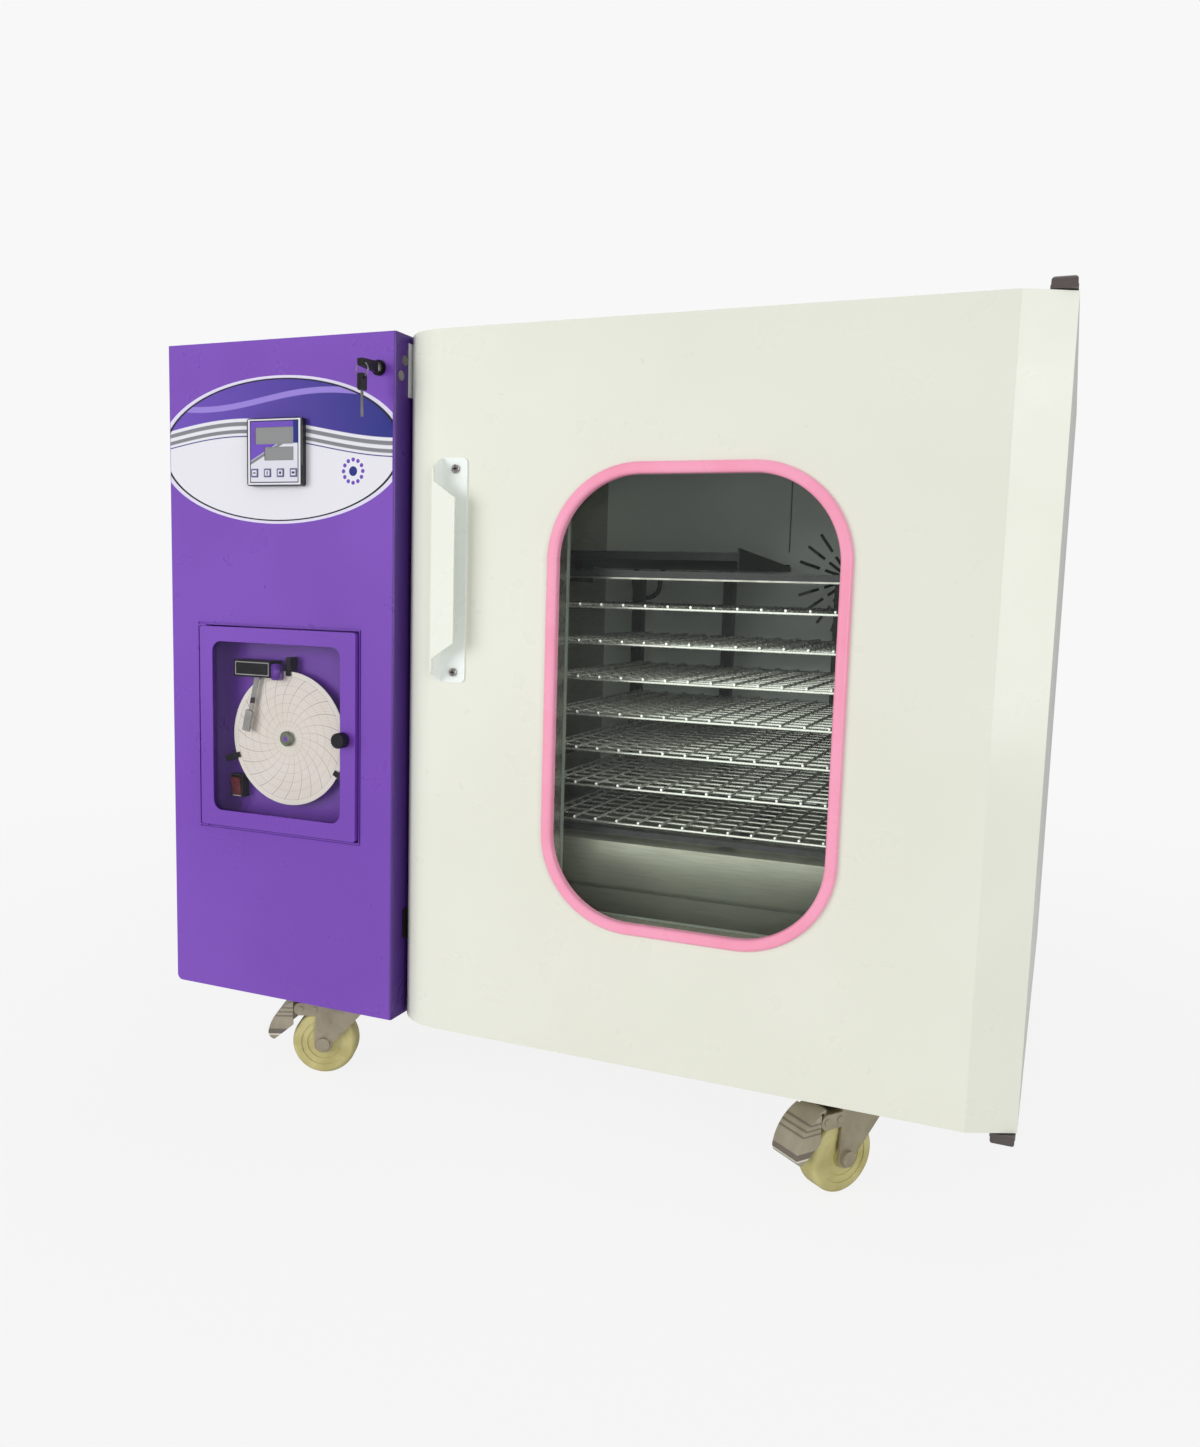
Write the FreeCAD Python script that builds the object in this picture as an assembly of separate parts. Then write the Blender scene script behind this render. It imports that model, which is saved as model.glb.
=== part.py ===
import FreeCAD, Part
import math
import os
from FreeCAD import Vector

# Platelet agitator in its incubator cabinet, in millimetres.
# While it is built, x runs to the right from the cover's left edge, y runs back from the
# front of the cover and door, and z runs up from the underside of the body.
# Each finished piece is then moved so that the origin is on the floor under the middle.

# Whole cabinet
cabinet_width = 946.0
body_height = 735.0
cabinet_back = 690.0
ground_clearance = 100.0
front_face = 38.0
shell_sheet = 1.5
bay_width = 300.0
face_rail_margin = 4.0
overrun = 2.0

# Cooled chamber and its walls
left_wall = 45.0
right_wall = 54.0
floor_wall = 60.0
ceiling_wall = 53.0
rear_wall = 90.0
liner_sheet = 1.0

# Ventilation slots in the rear panel of the control bay
vent_slot_width = 150.0
vent_slot_height = 5.0
vent_pitch = 14.0
vent_count = 14
vent_bottom = 80.0

# Purple control cover
cover_door_gap = 2.0
cover_sheet = 1.5
cover_bend_radius = 2.0
cover_corner_radius = 7.0

# Oval label
label_drop = 117.4
label_half_width = 163.0
label_half_height = 79.0
label_thickness = 0.4
label_edge_margin = 1.0

# Temperature controller
controller_shift = 1.8
controller_sink = 2.9
controller_side = 72.0
controller_proud = 8.0
controller_body_side = 67.5
controller_body_depth = 60.0
controller_corner = 3.0
display_pocket = 0.8
upper_display_width = 50.7
upper_display_height = 18.0
upper_display_rise = 17.3
lower_display_width = 38.5
lower_display_height = 14.4
lower_display_rise = -1.9
lower_display_shift = 6.4
key_width = 8.7
key_height = 8.5
key_pitch = 17.1
key_rise = -22.2
key_count = 4
key_clearance = 0.35
key_proud = 0.8
key_depth = 3.6
key_travel = 0.6
key_end_gap = 0.4

# Cover lock, its key and the spare key on the ring
lock_inset = 19.7
lock_drop = 36.5
lock_flange_radius = 8.0
lock_flange_thickness = 2.5
lock_barrel_radius = 7.0
lock_barrel_length = 20.0
lock_plug_radius = 5.0
running_clearance = 0.05
key_head_reach = 36.0
key_head_height = 11.0
key_head_tip_height = 7.5
key_head_corner = 2.5
key_head_thickness = 5.0
key_head_start = 6.0
key_blade_height = 6.0
key_blade_thickness = 2.2
ring_hole_radius = 1.7
ring_hole_reach = 31.0
ring_radius = 7.0
ring_wire_radius = 0.6
spare_head_height = 17.0
spare_head_width = 11.0
spare_head_thickness = 4.5
spare_head_top = 3.2
spare_blade_length = 26.0
spare_blade_width = 3.0
spare_blade_thickness = 1.4

# Small fittings on the cover's right side face
side_screw_radius = 5.2
side_screw_height = 1.2
side_screw_depths_and_drops = [(16.6, 27.0), (9.5, 43.4)]
strike_inset = 10.0
strike_width = 7.0
strike_height = 55.0
strike_drop = 8.0
strike_thickness = 1.0
plug_inset = 12.0
plug_low = 86.0
plug_high = 121.0
plug_width = 9.0

# Chart recorder
recorder_width = 220.0
recorder_height = 237.0
recorder_shift = 1.5
recorder_drop = 307.0
recorder_fit = 1.5
recorder_wall = 1.2
recorder_flange = 8.0
recorder_depth = 62.0
recorder_plate_y = 26.0
recorder_plate_sheet = 1.5
recorder_door_gap_side = 3.6
recorder_door_gap_end = 1.6
recorder_door_proud = 4.5
recorder_door_depth = 12.0
recorder_door_sheet = 1.5
recorder_door_corner = 3.0
recorder_window_margin_left = 16.5
recorder_window_margin_right = 21.0
recorder_window_margin_top = 16.5
recorder_window_margin_low = 18.0
recorder_window_corner = 12.0
recorder_pane_overlap = 6.0
recorder_pane_thickness = 3.0
recorder_pivot_inset = 4.0
recorder_pivot_block = 8.0
recorder_pivot_radius = 1.2
recorder_pivot_length = 5.0
recorder_lug_gap = 0.4
knob_inset = 19.5
knob_sink = 2.3
knob_radius = 8.5
knob_length = 11.0
knob_gap = 0.3
knob_ribs = 18
knob_rib_radius = 0.9
knob_shaft_radius = 2.5
knob_tongue_length = 11.0
knob_tongue_height = 7.0
knob_tongue_thickness = 1.5

# Chart, its hub, pen arm and small recorder fittings
chart_shift = 3.0
chart_sink = 9.5
chart_radius = 76.0
chart_y = 15.0
chart_thickness = 0.8
hub_radius = 8.5
hub_length = 5.5
spindle_radius = 3.0
pen_housing_reach = 67.5
pen_housing_width = 50.5
pen_housing_rise = 68.0
pen_housing_height = 19.0
pen_housing_front = 5.0
pen_pivot_reach = 37.0
pen_pivot_rise = 7.0
pen_pivot_radius = 2.0
pen_tip_reach = 53.0
pen_tip_rise = 6.0
pen_arm_y = 9.0
pen_arm_thickness = 1.0
pen_arm_width = 6.0
pen_eye_radius = 4.5
pen_slot_gap = 1.2
pen_slot_width = 24.0
pen_clip_width = 9.0
pen_clip_length = 24.0
pen_clip_depth = 3.0
clip_width = 6.0
clip_length = 21.0
clip_lift = 0.5
clip_thickness = 1.5
clip_overlap = 5.0
clip_bearings = [89.0, 199.0, 332.0]
switch_inset = 40.0
switch_rise = 48.8
switch_width = 17.0
switch_height = 26.5
switch_frame = 2.0
switch_front = 15.0
rocker_clearance = 0.4
rocker_depth = 5.0
rocker_rise = 2.2
rocker_pin_radius = 1.0
rocker_tilt = 8.0

# Chamber door
door_thickness = 34.0
door_sheet = 1.5
door_end_gap = 1.0
door_left_setback = 30.0
door_curve_width = 53.0
door_bevel_width = 44.0
door_bevel_setback = 20.0
door_rear_chamfer = 6.0
hinge_inset = 12.0
hinge_depth = 10.0
hinge_pin_radius = 4.0
hinge_pin_reach = 28.0
hinge_bush_radius = 6.0
hinge_bush_length = 30.0
hinge_plate_width = 22.0
hinge_plate_thickness = 3.0
hinge_plate_reach = 12.0
hinge_plate_lap = 28.0
hinge_cap_height = 7.5
hinge_cap_width = 21.0
hinge_cap_depth = 23.0
hinge_cap_radius = 4.0

# Window in the door, outside edge of the pink trim first
window_offset_x = 3.0
window_rise = 0.5
window_width = 300.7
window_height = 462.0
window_radius = 95.0
trim_band = 11.6
trim_proud = 4.5
trim_round = 3.6
trim_lip = 4.0
glazing_inset = 5.7
glazing_corner = 12.0
pane_thickness = 4.0
pane_spacing = 18.0
spacer_width = 3.5

# Door gasket
gasket_margin = 18.0
gasket_width = 14.0
gasket_gap = 0.3

# Door handle of folded sheet
handle_gap = 2.3
handle_height = 228.4
handle_drop = 129.3
handle_sheet = 1.6
handle_base_width = 29.2
handle_base_corner = 6.0
handle_reach = 21.5
handle_end_slope = 11.0
handle_lip_width = 26.2
handle_lip_margin = 23.7
handle_lip_taper = 18.0
handle_screw_inset = 16.1
handle_screw_inset_low = 10.7
handle_screw_inset_high = 11.3
screw_head_radius = 4.6
screw_head_height = 2.6
screw_shank_radius = 2.0
screw_shank_length = 9.0

# Duct panel at the back of the chamber, with the fan behind its grille
duct_depth = 125.0
duct_sheet = 1.5
duct_seam_reach = 261.0
duct_seam_width = 1.6
duct_seam_rise = 474.0
duct_screw_reach = 146.0
duct_screw_drop = 117.0
duct_screw_radius = 3.6
duct_screw_height = 1.8
grille_shift = 71.5
grille_drop = 182.0
grille_inner = 16.0
grille_middle = 40.0
grille_gap = 7.0
grille_outer = 72.0
grille_slot = 4.0
grille_count = 20
fan_radius = 60.0
fan_hub_radius = 19.0
fan_depth = 18.0
fan_gap = 12.0
fan_blades = 7
fan_blade_thickness = 1.5
fan_blade_pitch = 32.0
fan_blade_chord_share = 0.9
fan_shaft_radius = 3.0
fan_motor_radius = 26.0
fan_motor_length = 45.0

# Cooling coil behind the duct panel, and its drip tray
coil_left_gap = 30.0
coil_width = 200.0
coil_gap = 25.0
coil_depth = 56.0
coil_rise = 210.0
coil_height = 180.0
coil_fins = 16
coil_fin_thickness = 1.2
coil_tube_radius = 5.0
coil_tube_columns = 2
coil_tube_rows = 5
coil_bracket_height = 20.0
tray_sheet = 1.5
tray_reach = 257.0
tray_width = 265.0
tray_over_rack = 10.0
tray_fall = 5.5
tray_lip = 9.5
tray_cheek_front_drop = 5.0
tray_cheek_front_height = 25.0
tray_cheek_back_height = 6.5
tray_bracket_width = 12.0
tray_bracket_setback = 75.0
tray_bracket_length = 55.0
tray_bracket_height = 21.0

# Probe cable loop at the top of the duct panel
cable_radius = 3.0
cable_inset = 47.0
cable_loop_radius = 19.5
cable_drop = 5.0
cable_tray_gap = 6.5
cable_bend = 9.0
cable_gland_radius = 6.0
cable_gland_length = 3.0

# Agitator base on the chamber floor
base_width = 487.0
base_setback = 50.0
base_rear_gap = 45.0
base_sheet = 1.5
plinth_height = 95.5
base_joint_height = 4.5
base_joint_inset = 6.0
housing_height = 48.0
housing_flange = 14.0
rail_width = 12.0
rail_height = 5.7
rail_front_inset = 48.0
rail_back_inset = 58.0

# Moving rack
rack_gap = 0.3
rack_width = 409.0
rack_front_inset = 10.0
rack_back_inset = 14.0
post_side = 14.0
inner_post_offset = 72.0
rack_bar_height = 6.0
rack_top_space = 39.2
rack_top_sheet = 1.5
rack_lip_height = 9.0
rack_stroke = 38.0
stiffener_rise = 57.0
stiffener_height = 8.0
stiffener_thickness = 3.0
runner_width = 10.0
runner_thickness = 2.0

# Wire shelves
shelf_count = 7
shelf_pitch = 38.8
lowest_shelf_rise = 12.0
rod_diameter = 3.0
crossing_rise_share = 0.9
mesh_pitch = 25.0
first_row_gap = 30.0
shelf_side_gap = 1.0

# Crank drive inside the base
crank_offset_x = -70.5
crank_forward = 5.0
crank_radius = 19.0
crank_disc_radius = 27.0
crank_disc_height = 8.0
crank_lift = 10.5
crank_pin_radius = 4.0
crank_pin_height = 7.0
rod_length = 90.0
rod_width = 13.0
rod_thickness = 5.0
rod_gap = 0.4
drive_pin_radius = 4.0
drive_collar_radius = 7.0
drive_collar_height = 3.0
drive_bar_width = 18.0
slot_margin = 4.0
motor_shaft_radius = 4.0
gearbox_side = 56.0
gearbox_height = 26.0
motor_radius = 26.0
motor_length = 28.0
shaft_hole_radius = 9.0

# Condensing unit in the control bay
unit_left = 24.0
unit_width = 250.0
unit_front = 190.0
unit_back_gap = 30.0
unit_sheet = 2.5
foot_radius = 12.0
foot_height = 14.0
foot_inset = 26.0
compressor_inset = 100.0
compressor_radius = 72.0
compressor_height = 150.0
compressor_dome = 26.0
compressor_flange = 5.0
compressor_flange_height = 8.0
condenser_inset = 100.0
condenser_depth = 66.0
condenser_width = 210.0
condenser_height = 220.0
condenser_fins = 18
condenser_fin_thickness = 1.2
condenser_tube_radius = 5.0
condenser_tube_rows = 6

# Control box and mains inlet
control_box_depth = 46.0
control_box_length = 190.0
control_box_height = 130.0
control_box_y = 150.0
control_box_z = 470.0
inlet_x = 80.0
inlet_z = 52.0
inlet_width = 27.6
inlet_height = 20.4
inlet_depth = 24.0
inlet_flange_width = 50.0
inlet_flange_height = 26.0
inlet_flange_thickness = 3.0
inlet_socket_width = 24.4
inlet_socket_height = 17.0
inlet_socket_depth = 17.0
inlet_pin_length = 14.0
inlet_pin_width = 2.0
inlet_pin_height = 4.0
inlet_pin_pitch = 7.0
inlet_pin_drop = 4.5

# Castors
castor_left_inset = 201.0
castor_right_inset = 148.0
castor_inset_y = 66.0
castor_plate_length = 60.0
castor_plate_width = 56.0
castor_plate_thickness = 3.0
castor_race_radius = 22.0
castor_race_height = 6.0
castor_gap = 0.3
castor_crown_thickness = 3.0
castor_crown_radius = 23.0
castor_crown_back = 19.0
castor_crown_front = 37.5
castor_trail = 29.0
castor_yaw_left = 203.0
castor_yaw_right = 233.0
castor_yaw_rear = 90.0
king_pin_radius = 5.0
king_head_radius = 8.0
king_head_height = 2.4
wheel_radius = 37.5
wheel_width = 26.0
wheel_side_gap = 0.5
wheel_boss_radius = 11.0
wheel_boss_height = 1.5
wheel_round = 5.0
wheel_step_outer = 27.0
wheel_step_inner = 20.0
wheel_step_depth = 2.0
leg_thickness = 2.5
leg_foot_radius = 10.5
leg_rear_slope = 12.0
axle_radius = 4.0
axle_head_radius = 7.8
axle_head_height = 4.0
fork_rivet_setback = 16.0
rivet_head_radius = 3.6
rivet_head_height = 1.0
pedal_pivot_u = 56.0
pedal_pivot_z = -21.0
pedal_arm_radius = 7.5
pedal_pin_radius = 2.5
pedal_barrel_radius = 4.5
pedal_thickness = 2.0
pedal_width = 36.0
pedal_rise = 12.0
pedal_reach = 37.0
pedal_drop = 27.0
pedal_lip_drop = 36.5
pedal_lip_return = 7.0
pedal_bow_shares = (0.73, -0.17)
pedal_cheek_reach = 20.0
pedal_cheek_drop = 28.5
pedal_side_gap = 0.4

# Places that follow from the values above
chamber_left = bay_width + left_wall
chamber_right = cabinet_width - right_wall
chamber_floor = floor_wall
chamber_top = body_height - ceiling_wall
chamber_back = cabinet_back - rear_wall
chamber_mid = (chamber_left + chamber_right) / 2
duct_face = chamber_back - duct_depth
cover_width = bay_width - cover_door_gap
label_centre_z = body_height - label_drop
controller_centre_x = cover_width / 2 + controller_shift
controller_centre_z = label_centre_z - controller_sink
lock_x = cover_width - lock_inset
lock_z = body_height - lock_drop
strike_y = front_face - strike_inset
strike_high = body_height - strike_drop
strike_low = strike_high - strike_height
plug_y = front_face - plug_inset
recorder_mid_x = cover_width / 2 - recorder_shift
recorder_left = recorder_mid_x - recorder_width / 2
recorder_right = recorder_mid_x + recorder_width / 2
recorder_high = body_height - recorder_drop
recorder_low = recorder_high - recorder_height
recorder_mid_z = (recorder_low + recorder_high) / 2
knob_x = recorder_right - knob_inset
knob_z = recorder_mid_z - knob_sink
chart_x = recorder_mid_x + chart_shift
chart_z = recorder_mid_z - chart_sink
pen_housing_x = chart_x - pen_housing_reach
pen_housing_z = chart_z + pen_housing_rise
pen_pivot_x = chart_x - pen_pivot_reach
pen_pivot_z = pen_housing_z + pen_pivot_rise
pen_tip_x = chart_x - pen_tip_reach
pen_tip_z = chart_z + pen_tip_rise
switch_x = recorder_left + switch_inset
switch_z = recorder_low + switch_rise
door_mid_x = (bay_width + cabinet_width) / 2
window_x = door_mid_x + window_offset_x
window_centre_z = body_height / 2 + window_rise
handle_left = bay_width + door_curve_width + handle_gap
handle_high = body_height - handle_drop
handle_low = handle_high - handle_height
handle_lip_long = handle_height - 2 * handle_lip_margin
handle_lip_short = handle_lip_long - 2 * handle_lip_taper
handle_screw_x = handle_left + handle_screw_inset
hinge_x = cabinet_width - hinge_inset
hinge_y = door_thickness - hinge_depth
hinge_plate_front = hinge_y - hinge_plate_reach
hinge_plate_back = front_face + hinge_plate_lap
face_rail_back = hinge_plate_back + face_rail_margin
rear_end = cabinet_back + inlet_flange_thickness
front_end = ring_hole_reach + spare_head_width / 2
body_mid_y = (rear_end - front_end) / 2
grille_x = chamber_mid + grille_shift
grille_z = chamber_top - grille_drop
coil_front = duct_face + coil_gap
coil_low = chamber_floor + coil_rise
tray_front = duct_face - tray_reach
tray_right = chamber_left + tray_width
duct_seam_x = chamber_left + duct_seam_reach
duct_seam_low = chamber_floor + duct_seam_rise
duct_screw_x = chamber_left + duct_screw_reach
duct_screw_z = chamber_top - duct_screw_drop
cable_left = chamber_left + cable_inset
base_front = front_face + base_setback
base_back = duct_face - base_rear_gap
plinth_top = chamber_floor + plinth_height
housing_low = plinth_top + base_joint_height
base_top = housing_low + housing_height
rail_top = base_top + rail_height
rack_low = rail_top + rack_gap
rack_bar_top = rack_low + rack_bar_height
rail_length = rack_width + rack_stroke
rail_front_y = base_front + rail_front_inset
rail_back_y = base_back - rail_back_inset
rack_left = chamber_mid - rack_width / 2
rack_right = chamber_mid + rack_width / 2
rack_front = base_front + rack_front_inset
rack_back = base_back - rack_back_inset
rack_depth = rack_back - rack_front
lowest_shelf_z = rack_low + lowest_shelf_rise
stiffener_z = lowest_shelf_z + stiffener_rise
rack_top_z = lowest_shelf_z + (shelf_count - 1) * shelf_pitch + rack_top_space
tray_low = rack_top_z + tray_over_rack
tray_front_low = tray_low + tray_fall
cable_top = tray_low - cable_tray_gap
crank_x = chamber_mid + crank_offset_x
crank_y = (base_front + base_back) / 2 - crank_forward
crank_disc_low = plinth_top + crank_lift
crank_pin_low = crank_disc_low + crank_disc_height
rod_low = crank_pin_low + crank_pin_height + rod_gap
rod_reach = math.sqrt(rod_length ** 2 - crank_radius ** 2)
drive_x = crank_x + rod_reach
shelf_left = rack_left + post_side + shelf_side_gap
shelf_right = rack_right - post_side - shelf_side_gap
shelf_depth = rack_depth - post_side - shelf_side_gap
mesh_half_width = (shelf_right - shelf_left) / 2 - 2 * rod_diameter
mesh_columns = math.floor(mesh_half_width / mesh_pitch)
mesh_run = shelf_depth - first_row_gap - 3 * rod_diameter
mesh_rows = math.floor(mesh_run / mesh_pitch) + 1
unit_depth = cabinet_back - unit_back_gap - unit_front
compressor_y = unit_front + compressor_inset
condenser_y = unit_front + unit_depth - condenser_inset
castor_left_x = castor_left_inset
castor_right_x = cabinet_width - castor_right_inset
wheel_bore_radius = axle_radius + running_clearance


def box(x_low, x_high, y_low, y_high, z_low, z_high):
    size = (x_high - x_low, y_high - y_low, z_high - z_low)
    return Part.makeBox(*size, Vector(x_low, y_low, z_low))


def rod_y(x, z, radius, y_low, y_high):
    return Part.makeCylinder(radius, y_high - y_low, Vector(x, y_low, z), Vector(0, 1, 0))


def rod_z(x, y, radius, z_low, z_high):
    return Part.makeCylinder(radius, z_high - z_low, Vector(x, y, z_low))


def rod_x(y, z, radius, x_low, x_high):
    return Part.makeCylinder(radius, x_high - x_low, Vector(x_low, y, z), Vector(1, 0, 0))


def plate(points, direction):
    """A flat plate with straight edges through the points, thickened along direction."""
    return Part.Face(Part.makePolygon(points + points[:1])).extrude(direction)


def rounded_wire(centre_x, centre_z, width, height, radius, y):
    """A rectangle with round corners that stands in the plane of the front."""
    x_low, x_high = centre_x - width / 2, centre_x + width / 2
    z_low, z_high = centre_z - height / 2, centre_z + height / 2
    bulge = radius * (1 - math.sqrt(0.5))
    corners = [(x_high, z_low, -1, 1), (x_high, z_high, -1, -1),
               (x_low, z_high, 1, -1), (x_low, z_low, 1, 1)]
    arcs = []
    for x, z, to_x, to_z in corners:
        beside = Vector(x + to_x * radius, y, z)
        above = Vector(x, y, z + to_z * radius)
        middle = Vector(x + to_x * bulge, y, z + to_z * bulge)
        ends = (beside, above) if to_x * to_z < 0 else (above, beside)
        arcs.append((ends[0], middle, ends[1]))
    edges = []
    for index, (start, middle, end) in enumerate(arcs):
        edges.append(Part.Arc(start, middle, end).toShape())
        following = arcs[(index + 1) % len(arcs)][0]
        edges.append(Part.LineSegment(end, following).toShape())
    return Part.Wire(edges)


def rounded_block(centre_x, centre_z, width, height, radius, y_low, y_high):
    wire = rounded_wire(centre_x, centre_z, width, height, radius, y_low)
    return Part.Face(wire).extrude(Vector(0, y_high - y_low, 0))


def rounded_ring(outer, inner, y_low, y_high):
    """A frame between two round-cornered rectangles, each given as
    centre x, centre z, width, height and radius."""
    return rounded_block(*outer, y_low, y_high).cut(
        rounded_block(*inner, y_low - overrun, y_high + overrun))


def save(name, solids):
    """Moves the solids to the frame on the floor and writes them."""
    shift = Vector(-cabinet_width / 2, -body_mid_y, ground_clearance)
    single = []
    for solid in solids:
        single.extend(solid.Solids)
    for solid in single:
        solid.translate(shift)
    shape = single[0] if len(single) == 1 else Part.makeCompound(single)
    shape.exportStep("parts/" + name + ".step")
    print(name, len(single), "solids", all(solid.isValid() for solid in single))


def cabinet_shell():
    """Folded outer panels, each a flat sheet that meets its neighbours face to face.
    The top is a front rail, which carries the hinge, and the sheet behind it."""
    t = shell_sheet
    right, high = cabinet_width, body_height
    inner_back = cabinet_back - t
    panels = [box(0, t, front_face, cabinet_back, 0, high),
              box(right - t, right, front_face, cabinet_back, 0, high),
              box(t, right - t, front_face, face_rail_back, high - t, high),
              box(t, right - t, face_rail_back, cabinet_back, high - t, high),
              box(t, right - t, front_face, cabinet_back, 0, t),
              box(bay_width - t, bay_width, front_face, inner_back, t, high - t)]
    rear = box(t, right - t, inner_back, cabinet_back, t, high - t)
    middle = bay_width / 2
    for row in range(vent_count):
        low = vent_bottom + row * vent_pitch
        rear = rear.cut(box(middle - vent_slot_width / 2, middle + vent_slot_width / 2,
                            inner_back - overrun, cabinet_back + overrun,
                            low, low + vent_slot_height))
    rear = rear.cut(inlet_block(inlet_width, inlet_height, inner_back - overrun,
                                cabinet_back + overrun))
    panels.append(rear)
    face_back = front_face + t
    panels += [box(bay_width, chamber_left, front_face, face_back, t, high - t),
               box(chamber_right, right - t, front_face, face_back, t, high - t),
               box(chamber_left, chamber_right, front_face, face_back, t, chamber_floor),
               box(chamber_left, chamber_right, front_face, face_back, chamber_top, high - t)]
    return panels


def chamber_liner():
    """Bright sheets round the cooled chamber."""
    t = liner_sheet
    front = front_face + shell_sheet
    back = chamber_back + t
    return [box(chamber_left - t, chamber_left, front, back, chamber_floor - t, chamber_top + t),
            box(chamber_right, chamber_right + t, front, back, chamber_floor - t, chamber_top + t),
            box(chamber_left, chamber_right, front, back, chamber_floor - t, chamber_floor),
            box(chamber_left, chamber_right, front, back, chamber_top, chamber_top + t),
            box(chamber_left, chamber_right, chamber_back, back, chamber_floor, chamber_top)]


def insulation():
    """Foam slabs between the liner and the outer panels."""
    front = front_face + shell_sheet
    back = cabinet_back - shell_sheet
    left, right = bay_width, cabinet_width - shell_sheet
    low, high = shell_sheet, body_height - shell_sheet
    liner_left, liner_right = chamber_left - liner_sheet, chamber_right + liner_sheet
    liner_low, liner_high = chamber_floor - liner_sheet, chamber_top + liner_sheet
    return [box(left, liner_left, front, back, low, high),
            box(liner_right, right, front, back, low, high),
            box(liner_left, liner_right, front, back, low, liner_low),
            box(liner_left, liner_right, front, back, liner_high, high),
            box(liner_left, liner_right, chamber_back + liner_sheet, back, liner_low, liner_high)]


def control_cover():
    """Purple pan over the control bay, with cut-outs for what it carries."""
    t = cover_sheet
    pan = box(0, cover_width, 0, front_face, 0, body_height)
    fold = [edge for edge in pan.Edges
            if all(v.X > cover_width - t and v.Y < t for v in edge.Vertexes)]
    pan = pan.makeFillet(cover_bend_radius, fold)
    corner = [edge for edge in pan.Edges
              if all(v.X < t and v.Z < t for v in edge.Vertexes)]
    pan = pan.makeFillet(cover_corner_radius, corner)
    inside = box(t, cover_width - t, t, front_face + overrun, t, body_height - t)
    inner_corner = [edge for edge in inside.Edges
                    if all(v.X < t + overrun and v.Z < t + overrun for v in edge.Vertexes)]
    pan = pan.cut(inside.makeFillet(cover_corner_radius - t, inner_corner))
    controller_hole = rounded_block(controller_centre_x, controller_centre_z,
                                    controller_body_side, controller_body_side,
                                    controller_corner, -overrun, t + overrun)
    recorder_hole = box(recorder_left, recorder_right, -overrun, t + overrun,
                        recorder_low, recorder_high)
    lock_hole = rod_y(lock_x, lock_z, lock_barrel_radius, -overrun, t + overrun)
    for hole in (controller_hole, recorder_hole, lock_hole):
        pan = pan.cut(hole)
    return [pan]


def graphic_label():
    """Thin oval sticker, trimmed straight where the cover ends."""
    middle = cover_width / 2
    centre = Vector(middle, -label_thickness, label_centre_z)
    ellipse = Part.Ellipse(centre + Vector(label_half_width, 0, 0),
                           centre + Vector(0, 0, label_half_height), centre)
    oval = Part.Face(Part.Wire(ellipse.toShape())).extrude(Vector(0, label_thickness, 0))
    trimmed = oval.common(box(label_edge_margin, cover_width - label_edge_margin - cover_bend_radius,
                              -label_thickness, 0,
                              label_centre_z - label_half_height - overrun,
                              label_centre_z + label_half_height + overrun))
    return [trimmed.cut(rounded_block(controller_centre_x, controller_centre_z,
                                      controller_body_side, controller_body_side,
                                      controller_corner, -overrun, overrun))]


def key_centre(index):
    """Middle of one controller key, counted from the left."""
    first = controller_centre_x - key_pitch * (key_count - 1) / 2
    return first + index * key_pitch, controller_centre_z + key_rise


def controller_case():
    """Bezel with pockets for the displays and keys, and the body behind it."""
    front = -label_thickness - controller_proud
    bezel = rounded_block(controller_centre_x, controller_centre_z, controller_side,
                          controller_side, controller_corner, front, -label_thickness)
    body = rounded_block(controller_centre_x, controller_centre_z, controller_body_side,
                         controller_body_side, controller_corner,
                         -label_thickness, controller_body_depth)
    case = bezel.fuse(body)
    pocket = front + display_pocket
    case = case.cut(rounded_block(controller_centre_x, controller_centre_z + upper_display_rise,
                                  upper_display_width, upper_display_height, display_pocket,
                                  front - overrun, pocket))
    case = case.cut(rounded_block(controller_centre_x + lower_display_shift,
                                  controller_centre_z + lower_display_rise,
                                  lower_display_width, lower_display_height, display_pocket,
                                  front - overrun, pocket))
    floor = front - key_proud + key_depth + key_travel + key_end_gap
    for index in range(key_count):
        x, z = key_centre(index)
        half_width = key_width / 2 + key_clearance
        half_height = key_height / 2 + key_clearance
        case = case.cut(box(x - half_width, x + half_width, front - overrun, floor,
                            z - half_height, z + half_height))
    return [case]


def controller_key(index):
    """One square key, proud of the bezel by its travel and a little more."""
    x, z = key_centre(index)
    front = -label_thickness - controller_proud - key_proud
    return [rounded_block(x, z, key_width, key_height, key_proud, front, front + key_depth)]


def cover_fittings():
    """Lock bush, the two side screws, the strike strip and the oval plug."""
    bush = rod_y(lock_x, lock_z, lock_flange_radius, -lock_flange_thickness, 0)
    bush = bush.fuse(rod_y(lock_x, lock_z, lock_barrel_radius, 0, lock_barrel_length))
    bush = bush.cut(rod_y(lock_x, lock_z, lock_plug_radius + running_clearance,
                          -lock_flange_thickness - overrun, lock_barrel_length + overrun))
    pieces = [bush]
    for y, drop in side_screw_depths_and_drops:
        z = body_height - drop
        pieces.append(rod_x(y, z, side_screw_radius, cover_width,
                            cover_width + side_screw_height))
    pieces.append(box(cover_width, cover_width + strike_thickness, strike_y - strike_width / 2,
                      strike_y + strike_width / 2, strike_low, strike_high))
    radius = plug_width / 2
    plug = box(cover_width, cover_width + strike_thickness, plug_y - radius, plug_y + radius,
               plug_low + radius, plug_high - radius)
    for z in (plug_low + radius, plug_high - radius):
        plug = plug.fuse(rod_x(plug_y, z, radius, cover_width, cover_width + strike_thickness))
    pieces.append(plug.removeSplitter())
    return pieces


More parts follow.
